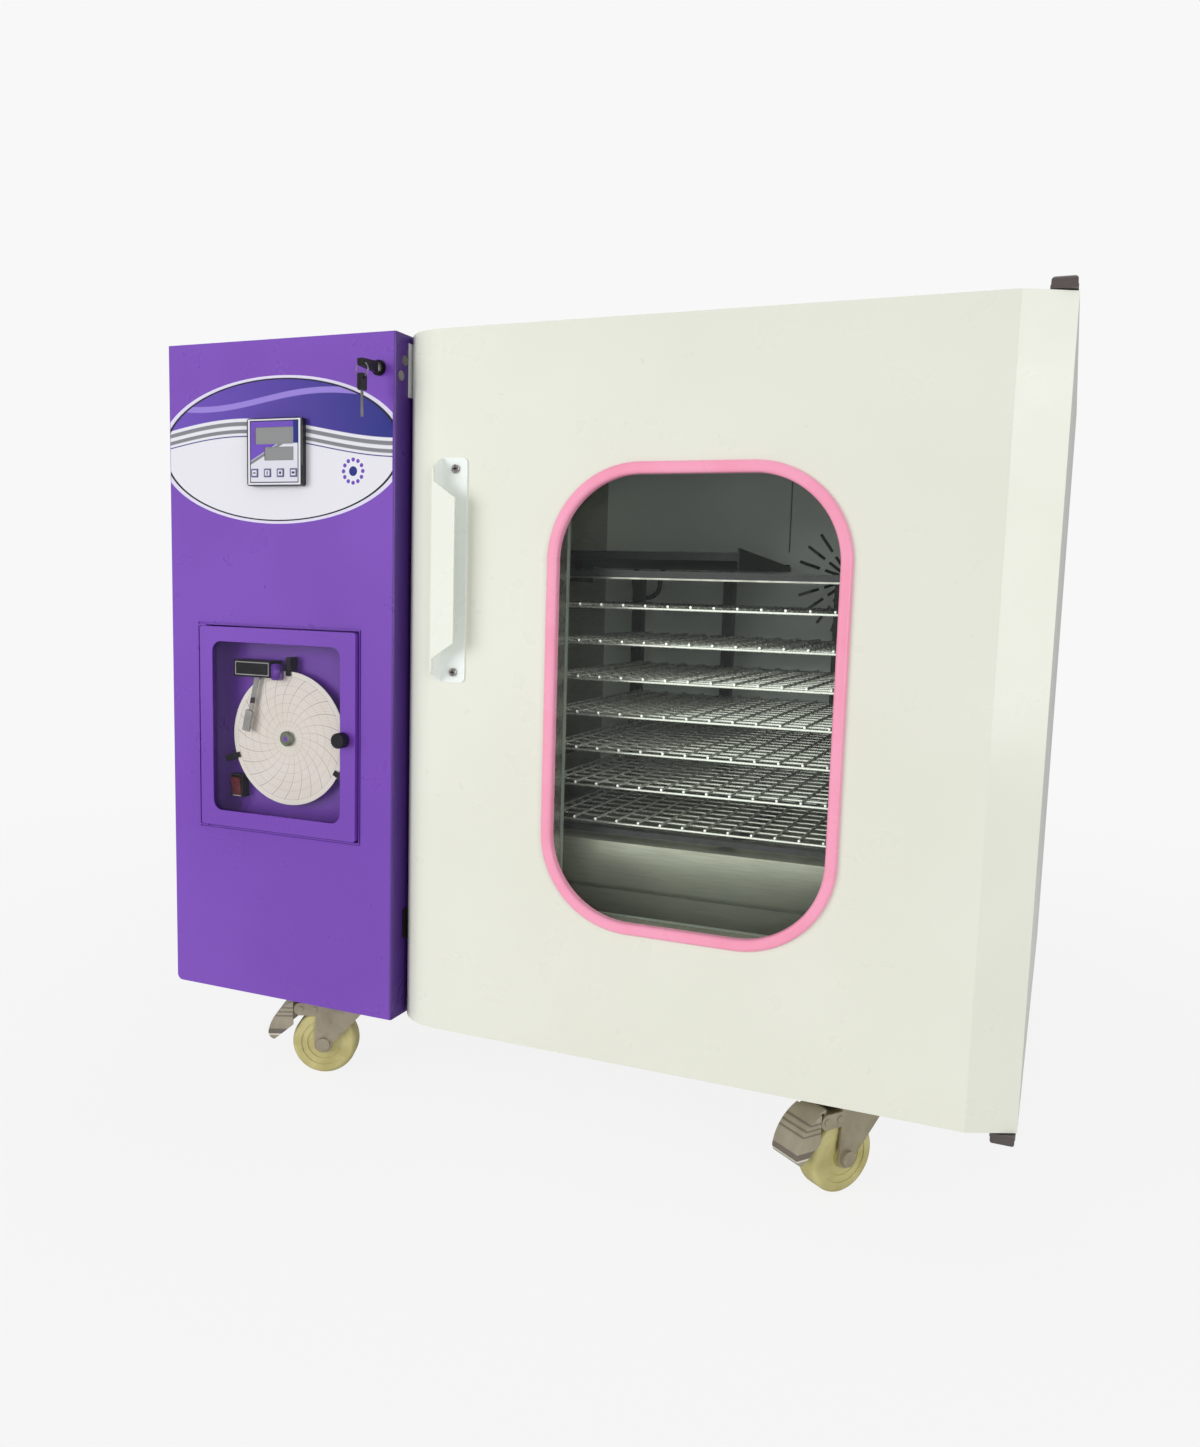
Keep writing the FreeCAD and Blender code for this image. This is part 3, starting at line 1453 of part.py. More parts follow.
def agitator_base():
    """Plinth, recessed joint and the upper housing that carries the rails."""
    left, right = chamber_mid - base_width / 2, chamber_mid + base_width / 2
    t, inset = base_sheet, base_joint_inset
    plinth = box(left, right, base_front, base_back, chamber_floor, plinth_top)
    plinth = plinth.cut(box(left + t, right - t, base_front + t, base_back - t,
                            chamber_floor - overrun, plinth_top - t))
    plinth = plinth.cut(rod_z(crank_x, crank_y, shaft_hole_radius,
                              plinth_top - t - overrun, plinth_top + overrun))
    joint = box(left + inset, right - inset, base_front + inset, base_back - inset,
                plinth_top, housing_low)
    rim = housing_flange
    window = box(left + rim, right - rim, base_front + rim, base_back - rim,
                 plinth_top - overrun, housing_low + overrun)
    joint = joint.cut(window)
    housing = box(left, right, base_front, base_back, housing_low, base_top)
    housing = housing.cut(box(left + t, right - t, base_front + t, base_back - t,
                              housing_low + t, base_top - t))
    housing = housing.cut(box(left + rim, right - rim, base_front + rim, base_back - rim,
                              housing_low - overrun, housing_low + t + overrun))
    reach = rack_stroke / 2 + drive_pin_radius + slot_margin
    side = drive_pin_radius + slot_margin
    housing = housing.cut(box(drive_x - reach, drive_x + reach, crank_y - side, crank_y + side,
                              base_top - t - overrun, base_top + overrun))
    return [plinth, joint, housing]


def slide_rails():
    """Two flat rails on the housing that the rack runs along."""
    return [box(chamber_mid - rail_length / 2, chamber_mid + rail_length / 2,
                y - rail_width / 2, y + rail_width / 2, base_top, rail_top)
            for y in (rail_front_y, rail_back_y)]


def agitator_motor():
    """Gear motor under the plinth's top, its shaft reaching up to the crank."""
    under = plinth_top - base_sheet
    half = gearbox_side / 2
    gearbox = box(crank_x - half, crank_x + half, crank_y - half, crank_y + half,
                  under - gearbox_height, under)
    shaft = rod_z(crank_x, crank_y, motor_shaft_radius, under, crank_pin_low - rod_gap)
    motor = rod_z(crank_x, crank_y, motor_radius, under - gearbox_height - motor_length,
                  under - gearbox_height)
    return [gearbox.fuse(shaft), motor]


def crank():
    """Disc on the motor shaft with the short crank pin."""
    disc = rod_z(crank_x, crank_y, crank_disc_radius, crank_disc_low, crank_pin_low)
    disc = disc.cut(rod_z(crank_x, crank_y, motor_shaft_radius + running_clearance,
                          crank_disc_low - overrun, crank_pin_low + overrun))
    pin = rod_z(crank_x, crank_y + crank_radius, crank_pin_radius, crank_pin_low,
                crank_pin_low + crank_pin_height)
    return [disc, pin]


def connecting_rod():
    """Flat rod from over the crank pin to the rack's drive pin."""
    start = Vector(crank_x, crank_y + crank_radius, rod_low)
    turn = math.degrees(math.atan2(-crank_radius, rod_reach))
    bar = box(0, rod_length, -rod_width / 2, rod_width / 2, 0, rod_thickness)
    for x in (0, rod_length):
        bar = bar.fuse(rod_z(x, 0, rod_width / 2, 0, rod_thickness))
    bar = bar.cut(rod_z(rod_length, 0, drive_pin_radius + running_clearance, -overrun,
                        rod_thickness + overrun))
    bar = bar.removeSplitter()
    bar.rotate(Vector(0, 0, 0), Vector(0, 0, 1), turn)
    bar.translate(start)
    return [bar]


def rack_frame():
    """Welded frame of posts, bars, runners and top plate, with the drive pin below."""
    left, right, front, back = rack_left, rack_right, rack_front, rack_back
    s, low, bar_top = post_side, rack_low, rack_bar_top
    under_top = rack_top_z - rack_top_sheet
    pieces = [box(left, right, front, front + s, low, bar_top),
              box(left, right, back - s, back, low, bar_top),
              box(left, left + s, front + s, back - s, low, bar_top),
              box(right - s, right, front + s, back - s, low, bar_top),
              box(drive_x - drive_bar_width / 2, drive_x + drive_bar_width / 2,
                  front + s, back - s, low, bar_top)]
    for x in (left, right - s):
        pieces.append(box(x, x + s, front + rack_top_sheet, front + s, bar_top, under_top))
    for x in (left, chamber_mid - inner_post_offset - s / 2,
              chamber_mid + inner_post_offset - s / 2, right - s):
        pieces.append(box(x, x + s, back - s, back, bar_top, under_top))
    top = box(left, right, front, back, under_top, rack_top_z)
    lip = box(left, right, front, front + rack_top_sheet,
              rack_top_z - rack_lip_height, under_top)
    pieces.append(top.fuse(lip).removeSplitter())
    pieces += rack_stiffeners() + rack_runners()
    collar_low = rod_low - rack_gap - drive_collar_height
    pin = rod_z(drive_x, crank_y, drive_pin_radius, collar_low, low)
    collar = rod_z(drive_x, crank_y, drive_collar_radius, collar_low,
                   collar_low + drive_collar_height)
    pieces.append(pin.fuse(collar).removeSplitter())
    return pieces


def rack_stiffeners():
    """Flat bars round the two sides and the back, part of the way up."""
    low, high = stiffener_z, stiffener_z + stiffener_height
    t, s = stiffener_thickness, post_side
    pieces = [box(rack_left, rack_left + t, rack_front + s, rack_back - s, low, high),
              box(rack_right - t, rack_right, rack_front + s, rack_back - s, low, high)]
    starts = [rack_left + s, chamber_mid - inner_post_offset + s / 2,
              chamber_mid + inner_post_offset + s / 2]
    ends = [chamber_mid - inner_post_offset - s / 2, chamber_mid + inner_post_offset - s / 2,
            rack_right - s]
    for start, end in zip(starts, ends):
        pieces.append(box(start, end, rack_back - t, rack_back, low, high))
    return pieces


def rack_runners():
    """A ledge on each side for every shelf."""
    pieces = []
    for index in range(shelf_count):
        high = lowest_shelf_z + index * shelf_pitch - rod_diameter / 2 - rack_gap
        for x in (rack_left + post_side, rack_right - post_side - runner_width):
            pieces.append(box(x, x + runner_width, rack_front + rack_top_sheet, rack_back,
                              high - runner_thickness, high))
    return pieces


def wire_shelf(index):
    """Shelf of welded rods: a flat grid, with the front-to-back rods standing on it."""
    middle = lowest_shelf_z + index * shelf_pitch
    half = rod_diameter / 2
    columns = [shelf_left + half]
    columns += [chamber_mid + step * mesh_pitch for step in range(-mesh_columns, mesh_columns + 1)]
    columns.append(shelf_right - half)
    front = rack_front + half
    rows = [front] + [front + first_row_gap + step * mesh_pitch for step in range(mesh_rows)]
    rows.append(rack_front + shelf_depth - half)
    wires = [grid_cell(shelf_left, shelf_right, rack_front, rack_front + shelf_depth,
                       middle - half)]
    for x_low, x_high in zip(columns, columns[1:]):
        for y_low, y_high in zip(rows, rows[1:]):
            wires.append(grid_cell(x_low + half, x_high - half, y_low + half, y_high - half,
                                   middle - half))
    grid = Part.makeFace(wires, "Part::FaceMakerBullseye").extrude(Vector(0, 0, rod_diameter))
    crossing = rod_diameter * crossing_rise_share
    risers = [box(x - half, x + half, rack_front, rack_front + shelf_depth,
                  middle + half, middle + half + crossing) for x in columns]
    return [grid] + risers


def grid_cell(x_low, x_high, y_low, y_high, z):
    """Outline of one flat rectangle."""
    points = [Vector(x_low, y_low, z), Vector(x_high, y_low, z),
              Vector(x_high, y_high, z), Vector(x_low, y_high, z)]
    return Part.makePolygon(points + points[:1])


def condensing_unit():
    """Compressor, condenser and their base tray on rubber feet."""
    floor = shell_sheet
    tray_low_z = floor + foot_height
    tray_top = tray_low_z + unit_sheet
    left, right = unit_left, unit_left + unit_width
    back = unit_front + unit_depth
    pieces = [box(left, right, unit_front, back, tray_low_z, tray_top)]
    for x in (left + foot_inset, right - foot_inset):
        for y in (unit_front + foot_inset, back - foot_inset):
            pieces.append(rod_z(x, y, foot_radius, floor, tray_low_z))
    middle = (left + right) / 2
    pot_top = tray_top + compressor_height
    pot = rod_z(middle, compressor_y, compressor_radius, tray_top, pot_top)
    dome = [edge for edge in pot.Edges if edge.Closed and edge.BoundBox.ZMin > pot_top - overrun]
    pot = pot.makeFillet(compressor_dome, dome)
    belt_z = tray_top + compressor_height / 2
    pieces.append(pot.fuse(rod_z(middle, compressor_y, compressor_radius + compressor_flange,
                                 belt_z, belt_z + compressor_flange_height)))
    pieces.append(finned_block(middle - condenser_width / 2, condenser_y, tray_top,
                               condenser_width, condenser_depth, condenser_height,
                               condenser_fins, condenser_fin_thickness, 1,
                               condenser_tube_rows, condenser_tube_radius))
    return pieces


def control_box():
    """Box for the power and control boards, on the wall of the control bay."""
    right = bay_width - shell_sheet
    case = box(right - control_box_depth, right, control_box_y,
               control_box_y + control_box_length, control_box_z,
               control_box_z + control_box_height)
    upright = [edge for edge in case.Edges if all(v.X < right - overrun for v in edge.Vertexes)]
    return [case.makeFillet(controller_corner, upright)]


def inlet_block(width, height, y_low, y_high):
    return box(inlet_x - width / 2, inlet_x + width / 2, y_low, y_high,
               inlet_z - height / 2, inlet_z + height / 2)


def mains_inlet():
    """Three-pin appliance inlet in the rear panel."""
    face = cabinet_back
    back = face + inlet_flange_thickness
    inlet = inlet_block(inlet_width, inlet_height, face - inlet_depth, face)
    inlet = inlet.fuse(inlet_block(inlet_flange_width, inlet_flange_height, face, back))
    floor = back - inlet_socket_depth
    inlet = inlet.cut(inlet_block(inlet_socket_width, inlet_socket_height, floor, back + overrun))
    pins = []
    for step in (-1, 0, 1):
        x = inlet_x + step * inlet_pin_pitch
        z = inlet_z - inlet_pin_drop + (inlet_pin_height if step == 0 else 0)
        pins.append(box(x - inlet_pin_width / 2, x + inlet_pin_width / 2, floor,
                        floor + inlet_pin_length, z - inlet_pin_height / 2,
                        z + inlet_pin_height / 2))
    return [inlet] + pins


def to_castor(solid, x, y, yaw):
    """Turns a piece drawn with its trail along x, and puts it at its swivel."""
    solid.rotate(Vector(0, 0, 0), Vector(0, 0, 1), yaw)
    solid.translate(Vector(x, y, 0))
    return solid


def castor_spots():
    """Name, place, heading and trail of each castor."""
    rear_y = cabinet_back - castor_inset_y
    return [("front_left", castor_left_x, castor_inset_y, castor_yaw_left, castor_trail),
            ("front_right", castor_right_x, castor_inset_y, castor_yaw_right, castor_trail),
            ("rear_left", castor_left_x, rear_y, castor_yaw_rear, 0),
            ("rear_right", castor_right_x, rear_y, castor_yaw_rear, 0)]


def crown_top():
    return -castor_plate_thickness - castor_race_height - castor_gap


def axle_height():
    return wheel_radius - ground_clearance


def leg_inner():
    return wheel_width / 2 + wheel_boss_height + wheel_side_gap


def castor_leg(trail, top, side, with_arm):
    """One side plate of a fork, round at the axle, with an arm for the pedal pin."""
    inner = leg_inner()
    start = inner if side > 0 else -inner - leg_thickness
    axle_z = axle_height()
    rear = -castor_crown_back
    front = castor_crown_front if with_arm else castor_crown_back
    outline = [(rear, top), (front, top), (front, pedal_pivot_z - pedal_arm_radius),
               (trail + leg_foot_radius, axle_z), (trail - leg_foot_radius, axle_z),
               (rear, top - leg_rear_slope)]
    leg = plate([Vector(u, start, z) for u, z in outline], Vector(0, leg_thickness, 0))
    foot = rod_y(trail, axle_z, leg_foot_radius, start, start + leg_thickness)
    leg = leg.fuse(foot)
    if with_arm:
        arm = box(front - overrun, pedal_pivot_u, start, start + leg_thickness,
                  pedal_pivot_z - pedal_arm_radius, pedal_pivot_z + pedal_arm_radius)
        tip = rod_y(pedal_pivot_u, pedal_pivot_z, pedal_arm_radius, start, start + leg_thickness)
        leg = leg.fuse(arm).fuse(tip)
    return leg.removeSplitter()


def castor_axle(trail):
    """Axle bolt with a head at each end."""
    reach = leg_inner() + leg_thickness
    axle_z = axle_height()
    bolt = rod_y(trail, axle_z, axle_radius, -reach, reach)
    for end in (-reach - axle_head_height, reach):
        bolt = bolt.fuse(rod_y(trail, axle_z, axle_head_radius, end, end + axle_head_height))
    return bolt


def leg_bore(trail):
    reach = leg_inner() + leg_thickness + overrun
    return rod_y(trail, axle_height(), axle_radius, -reach, reach)


def castor_mounts():
    """Top plates and races of all castors, and the fixed forks of the rear pair."""
    pieces = []
    half_length, half_width = castor_plate_length / 2, castor_plate_width / 2
    race_low = -castor_plate_thickness - castor_race_height
    king_low = crown_top() - castor_crown_thickness - castor_gap
    for name, x, y, yaw, trail in castor_spots():
        top = box(-half_length, half_length, -half_width, half_width,
                  -castor_plate_thickness, 0)
        pieces.append(to_castor(top, x, y, 0))
        if trail:
            race = rod_z(0, 0, castor_race_radius, race_low, -castor_plate_thickness)
            pin = rod_z(0, 0, king_pin_radius, king_low, race_low)
            head = rod_z(0, 0, king_head_radius, king_low - king_head_height, king_low)
            pieces.append(to_castor(race.fuse(pin).fuse(head), x, y, yaw))
            continue
        for side in (-1, 1):
            leg = castor_leg(trail, -castor_plate_thickness, side, False).cut(leg_bore(trail))
            pieces.append(to_castor(leg, x, y, yaw))
        pieces.append(to_castor(castor_axle(trail), x, y, yaw))
    return pieces


def castor_fork(x, y, yaw, trail):
    """Swivel fork: crown, two legs, axle and the pedal's pin."""
    top = crown_top()
    low = top - castor_crown_thickness
    half = leg_inner() + leg_thickness
    crown = box(-castor_crown_back, castor_crown_front, -half, half, low, top)
    crown = crown.fuse(rod_z(0, 0, castor_crown_radius, low, top))
    for side in (-1, 1):
        crown = crown.fuse(castor_leg(trail, top, side, True))
    crown = crown.cut(rod_z(0, 0, king_pin_radius + running_clearance,
                            low - overrun, top + overrun))
    crown = crown.cut(leg_bore(trail))
    pins = [fork_pin(u, half) for u in (pedal_pivot_u, pedal_pivot_u - fork_rivet_setback)]
    crown = crown.cut(pins[0]).cut(pins[1]).removeSplitter()
    return [to_castor(piece, x, y, yaw) for piece in [crown, castor_axle(trail)] + pins]


def fork_pin(u, half):
    """Pin through both legs of a fork, riveted over at its ends."""
    pin = rod_y(u, pedal_pivot_z, pedal_pin_radius, -half, half)
    for end in (-half - rivet_head_height, half):
        pin = pin.fuse(rod_y(u, pedal_pivot_z, rivet_head_radius, end, end + rivet_head_height))
    return pin


def castor_wheel(x, y, yaw, trail):
    """Nylon wheel with a rounded tread and a stepped face on each side."""
    half = wheel_width / 2
    boss = half + wheel_boss_height
    step = half - wheel_step_depth
    corner = wheel_radius - wheel_round
    bulge = wheel_round * (1 - math.sqrt(0.5))
    points = [Vector(wheel_bore_radius, boss, 0), Vector(wheel_boss_radius, boss, 0),
              Vector(wheel_boss_radius, step, 0), Vector(wheel_step_inner, step, 0),
              Vector(wheel_step_inner, half - wheel_step_depth / 2, 0),
              Vector(wheel_step_outer, half - wheel_step_depth / 2, 0),
              Vector(wheel_step_outer, half, 0), Vector(corner, half, 0)]
    edges = [Part.LineSegment(a, b).toShape() for a, b in zip(points, points[1:])]
    tread = Vector(wheel_radius, half - wheel_round, 0)
    edges.append(Part.Arc(points[-1], Vector(wheel_radius - bulge, half - bulge, 0),
                          tread).toShape())
    edges.append(Part.LineSegment(tread, Vector(wheel_radius, 0, 0)).toShape())
    edges.append(Part.LineSegment(Vector(wheel_radius, 0, 0),
                                  Vector(wheel_bore_radius, 0, 0)).toShape())
    edges.append(Part.LineSegment(Vector(wheel_bore_radius, 0, 0), points[0]).toShape())
    side = Part.Face(Part.Wire(edges)).revolve(Vector(0, 0, 0), Vector(0, 1, 0), 360)
    other = side.mirror(Vector(0, 0, 0), Vector(0, 1, 0))
    wheel = side.fuse(other).removeSplitter()
    wheel.translate(Vector(trail, 0, axle_height()))
    return [to_castor(wheel, x, y, yaw)]


def pedal_bow(inset):
    """Arcs down the pedal's bow and round its lip, a given way inside its outer face."""
    u, z = pedal_pivot_u, pedal_pivot_z
    bow_out, bow_down = pedal_bow_shares
    slant = math.sqrt(0.5)
    lip_half = pedal_lip_drop - pedal_drop
    start = Vector(u, 0, z + pedal_rise - inset)
    middle = Vector(u + pedal_reach * bow_out - inset * slant, 0,
                    z + pedal_drop * bow_down - inset * slant)
    end = Vector(u + pedal_reach - inset, 0, z - pedal_drop)
    lip_middle = Vector(u + pedal_reach - pedal_lip_return * (1 - slant) - inset * slant, 0,
                        z - pedal_drop - (lip_half - inset) * slant)
    lip = Vector(u + pedal_reach - pedal_lip_return, 0, z - pedal_lip_drop + inset)
    return start, lip, [Part.Arc(start, middle, end).toShape(),
                        Part.Arc(end, lip_middle, lip).toShape()]


def pedal_block(inset, corners, half):
    """Solid of the pedal's bow closed by straight lines over a list of (u, z) corners."""
    start, lip, edges = pedal_bow(inset)
    points = [lip] + [Vector(a, 0, b) for a, b in corners] + [start]
    edges += [Part.LineSegment(one, two).toShape() for one, two in zip(points, points[1:])]
    block = Part.Face(Part.Wire(edges)).extrude(Vector(0, 2 * half, 0))
    block.translate(Vector(0, -half, 0))
    return block


def castor_pedal(x, y, yaw):
    """Brake pedal: a barrel on its pin, a bowed sheet, its side cheeks and a turned lip."""
    u, z = pedal_pivot_u, pedal_pivot_z
    reach = leg_inner() - pedal_side_gap
    half = pedal_width / 2
    clear_u = u + pedal_arm_radius + pedal_side_gap * 2
    low = z - pedal_lip_drop - overrun
    hood = pedal_block(0, [(u + pedal_cheek_reach, z - pedal_cheek_drop), (u, z - pedal_rise)],
                       half)
    pocket = pedal_block(pedal_thickness, [(u + pedal_reach - pedal_lip_return, low), (u, low)],
                         half - pedal_thickness)
    beyond = box(clear_u, u + pedal_reach + overrun, -pedal_width, pedal_width,
                 low, z + pedal_rise + overrun)
    neck = pedal_block(0, [(u + pedal_cheek_reach, z - pedal_cheek_drop), (u, z - pedal_rise)],
                       reach)
    neck = neck.cut(pedal_block(pedal_thickness,
                                [(u + pedal_reach - pedal_lip_return, low), (u, low)],
                                half)).cut(beyond)
    pedal = hood.common(beyond).cut(pocket).fuse(neck)
    pedal = pedal.fuse(rod_y(u, z, pedal_barrel_radius, -reach, reach))
    pedal = pedal.fuse(box(u, u + pedal_thickness, -reach, reach,
                           z, z + pedal_rise - pedal_thickness / 2))
    pedal = pedal.cut(rod_y(u, z, pedal_pin_radius + running_clearance,
                            -reach - overrun, reach + overrun)).removeSplitter()
    return [to_castor(pedal, x, y, yaw)]


def build():
    """Writes every piece to the parts folder."""
    os.makedirs("parts", exist_ok=True)
    for maker in (cabinet_shell, chamber_liner, insulation, control_cover, graphic_label,
                  controller_case, cover_fittings, lock_key, spare_key, recorder_case,
                  recorder_door, recorder_window, recorder_knob, recorder_fittings,
                  recorder_switch, chart_disc, pen_arm, door_shell, door_core, window_trim,
                  window_panes, window_spacer, door_handle, handle_screws, door_gasket,
                  hinge_brackets, hinge_bushes, duct_panel, evaporator_fan, evaporator,
                  sensor_cable, agitator_base, slide_rails, agitator_motor, crank,
                  connecting_rod, rack_frame, condensing_unit, control_box, mains_inlet,
                  castor_mounts):
        save(maker.__name__, maker())
    for index in range(key_count):
        save("controller_key_" + str(index + 1), controller_key(index))
    for index in range(shelf_count):
        save("shelf_" + str(index + 1), wire_shelf(index))
    for name, x, y, yaw, trail in castor_spots():
        save("wheel_" + name, castor_wheel(x, y, yaw, trail))
        if trail:
            save("fork_" + name, castor_fork(x, y, yaw, trail))
            save("pedal_" + name, castor_pedal(x, y, yaw))


build()
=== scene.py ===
import math

import bmesh
import bpy
from mathutils import Matrix, Vector


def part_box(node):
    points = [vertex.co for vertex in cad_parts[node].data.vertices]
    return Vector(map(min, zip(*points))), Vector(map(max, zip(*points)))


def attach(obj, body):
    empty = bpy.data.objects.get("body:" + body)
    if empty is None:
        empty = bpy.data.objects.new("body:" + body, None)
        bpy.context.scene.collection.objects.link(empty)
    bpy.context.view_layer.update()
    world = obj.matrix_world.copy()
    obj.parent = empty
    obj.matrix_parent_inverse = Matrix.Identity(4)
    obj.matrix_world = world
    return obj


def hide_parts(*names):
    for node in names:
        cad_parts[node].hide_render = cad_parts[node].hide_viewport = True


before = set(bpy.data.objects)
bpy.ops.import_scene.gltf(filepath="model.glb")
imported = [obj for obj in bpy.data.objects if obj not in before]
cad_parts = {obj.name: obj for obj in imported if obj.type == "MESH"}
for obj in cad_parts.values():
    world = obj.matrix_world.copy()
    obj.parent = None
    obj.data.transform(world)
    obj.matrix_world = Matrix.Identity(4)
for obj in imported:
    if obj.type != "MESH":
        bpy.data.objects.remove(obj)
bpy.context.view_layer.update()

MM = 0.001

# Camera, fitted to the cabinet's edges in the photograph
CAMERA_PLACE = Vector((0.48458, -1.35832, 0.5757))
CAMERA_YAW = -0.388
CAMERA_PITCH = -0.116
CAMERA_ROLL = 0.029
CAMERA_LENS = 28.27
CAMERA_SENSOR = 36.0

# Places that several pieces share, in metres
COVER_LOW, COVER_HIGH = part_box("control_cover")
FRONT = COVER_LOW.y
BODY_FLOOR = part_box("cabinet_shell")[0].z


def linear(red, green, blue):
    """Linear colour of an sRGB colour given from 0 to 255."""
    channels = []
    for level in (red, green, blue):
        share = level / 255
        if share <= 0.04045:
            channels.append(share / 12.92)
        else:
            channels.append(((share + 0.055) / 1.055) ** 2.4)
    return (*channels, 1.0)


def pair(main, shade):
    """Linear colours of a surface's main tone and its shade."""
    return linear(*main), linear(*shade)


# Single colours
BLACK = linear(18, 18, 20)
INK = linear(24, 24, 30)
NAVY = linear(22, 34, 128)
VIOLET = linear(108, 70, 184)
PALE_VIOLET = linear(150, 126, 214)
# Darker purple painted on the cover's right side as painted shade
PURPLE_PAINTED_SHADE = linear(74, 36, 124)
BAND_GREY = linear(128, 129, 134)
FILM_WHITE = linear(232, 230, 236)
# Slightly darker violet for the film's rim, painted shade
FILM_RIM_SHADE = linear(226, 220, 240)
FACE_WHITE = linear(226, 226, 232)
FIELD_WHITE = linear(222, 221, 230)
DISPLAY_GREY = linear(142, 143, 142)
STRIKE_WHITE = linear(240, 241, 236)
# Paler tone painted into the handle's hollow as painted light
HANDLE_HOLLOW_PAINTED_LIGHT = linear(248, 253, 247)
DUST = linear(214, 216, 212)
BACKDROP = linear(248, 248, 248)
ROOM = linear(236, 238, 242)
FLOOR_TONE = linear(240, 240, 240)
ACRYLIC_TINT = linear(254, 253, 254)
GLASS_TINT = linear(250, 252, 250)

# Pairs of a main tone and its shade
CREAM = pair((238, 239, 224), (234, 235, 219))
PURPLE = pair((124, 71, 186), (118, 66, 178))
HANDLE_PAINT = pair((243, 245, 232), (238, 241, 227))
BRACKET_PAINT = pair((98, 88, 84), (72, 64, 62))
DUCT_PAINT = pair((236, 242, 240), (228, 234, 232))
BOX_PAINT = pair((168, 170, 172), (150, 152, 154))
STEEL = pair((186, 184, 178), (150, 148, 142))
BRIGHT_STEEL = pair((190, 188, 182), (150, 148, 142))
CHAMBER_STEEL = pair((170, 170, 156), (150, 150, 138))
WIRE_STEEL = pair((226, 226, 220), (198, 198, 192))
# Paler finish for the front ends of the shelf wires, a painted highlight
WIRE_TIP_HIGHLIGHT = pair((250, 250, 246), (240, 240, 236))
ZINC = pair((186, 176, 152), (168, 158, 134))
PEDAL_ZINC = pair((190, 181, 158), (172, 163, 140))
SCREW_CHROME = pair((206, 200, 196), (150, 140, 136))
HUB_METAL = pair((158, 164, 146), (118, 124, 106))
COIL_METAL = pair((190, 192, 194), (160, 162, 166))
CONDENSER_METAL = pair((184, 186, 188), (150, 152, 156))
BRASS = pair((206, 176, 104), (182, 150, 84))
BUSH_METAL = pair((58, 56, 60), (34, 33, 36))
BLACK_PARTS = pair((26, 26, 29), (14, 14, 16))
BLACK_PLASTIC = pair((18, 18, 20), (30, 30, 33))
CABLE_JACKET = pair((18, 18, 20), (34, 34, 36))
NYLON = pair((214, 204, 142), (192, 182, 120))
INNER_PAN = pair((226, 228, 222), (223, 225, 218))
WHITE_BUSH = pair((228, 228, 222), (214, 214, 208))
SWITCH_RED = pair((108, 34, 40), (84, 26, 30))
HOUSING_LINE = pair((190, 190, 186), (170, 170, 166))
PINK_RUBBER = pair((255, 168, 196), (252, 158, 186))
GREY_GASKET = pair((176, 176, 172), (158, 158, 154))
FOAM = pair((232, 216, 160), (206, 186, 122))
CHART_PAPER = pair((254, 252, 238), (250, 247, 231))
PEN_GREY = pair((176, 176, 170), (156, 156, 152))

# Ranges of noise over which tones and roughness change, and soft edges of masks
CLOUD_RANGE = (0.35, 0.65)
WIDE_RANGE = (0.3, 0.7)
EDGE = 0.05 * MM
SHARE_EDGE = 0.003
GRAIN_DEPTH = 0.2 * MM


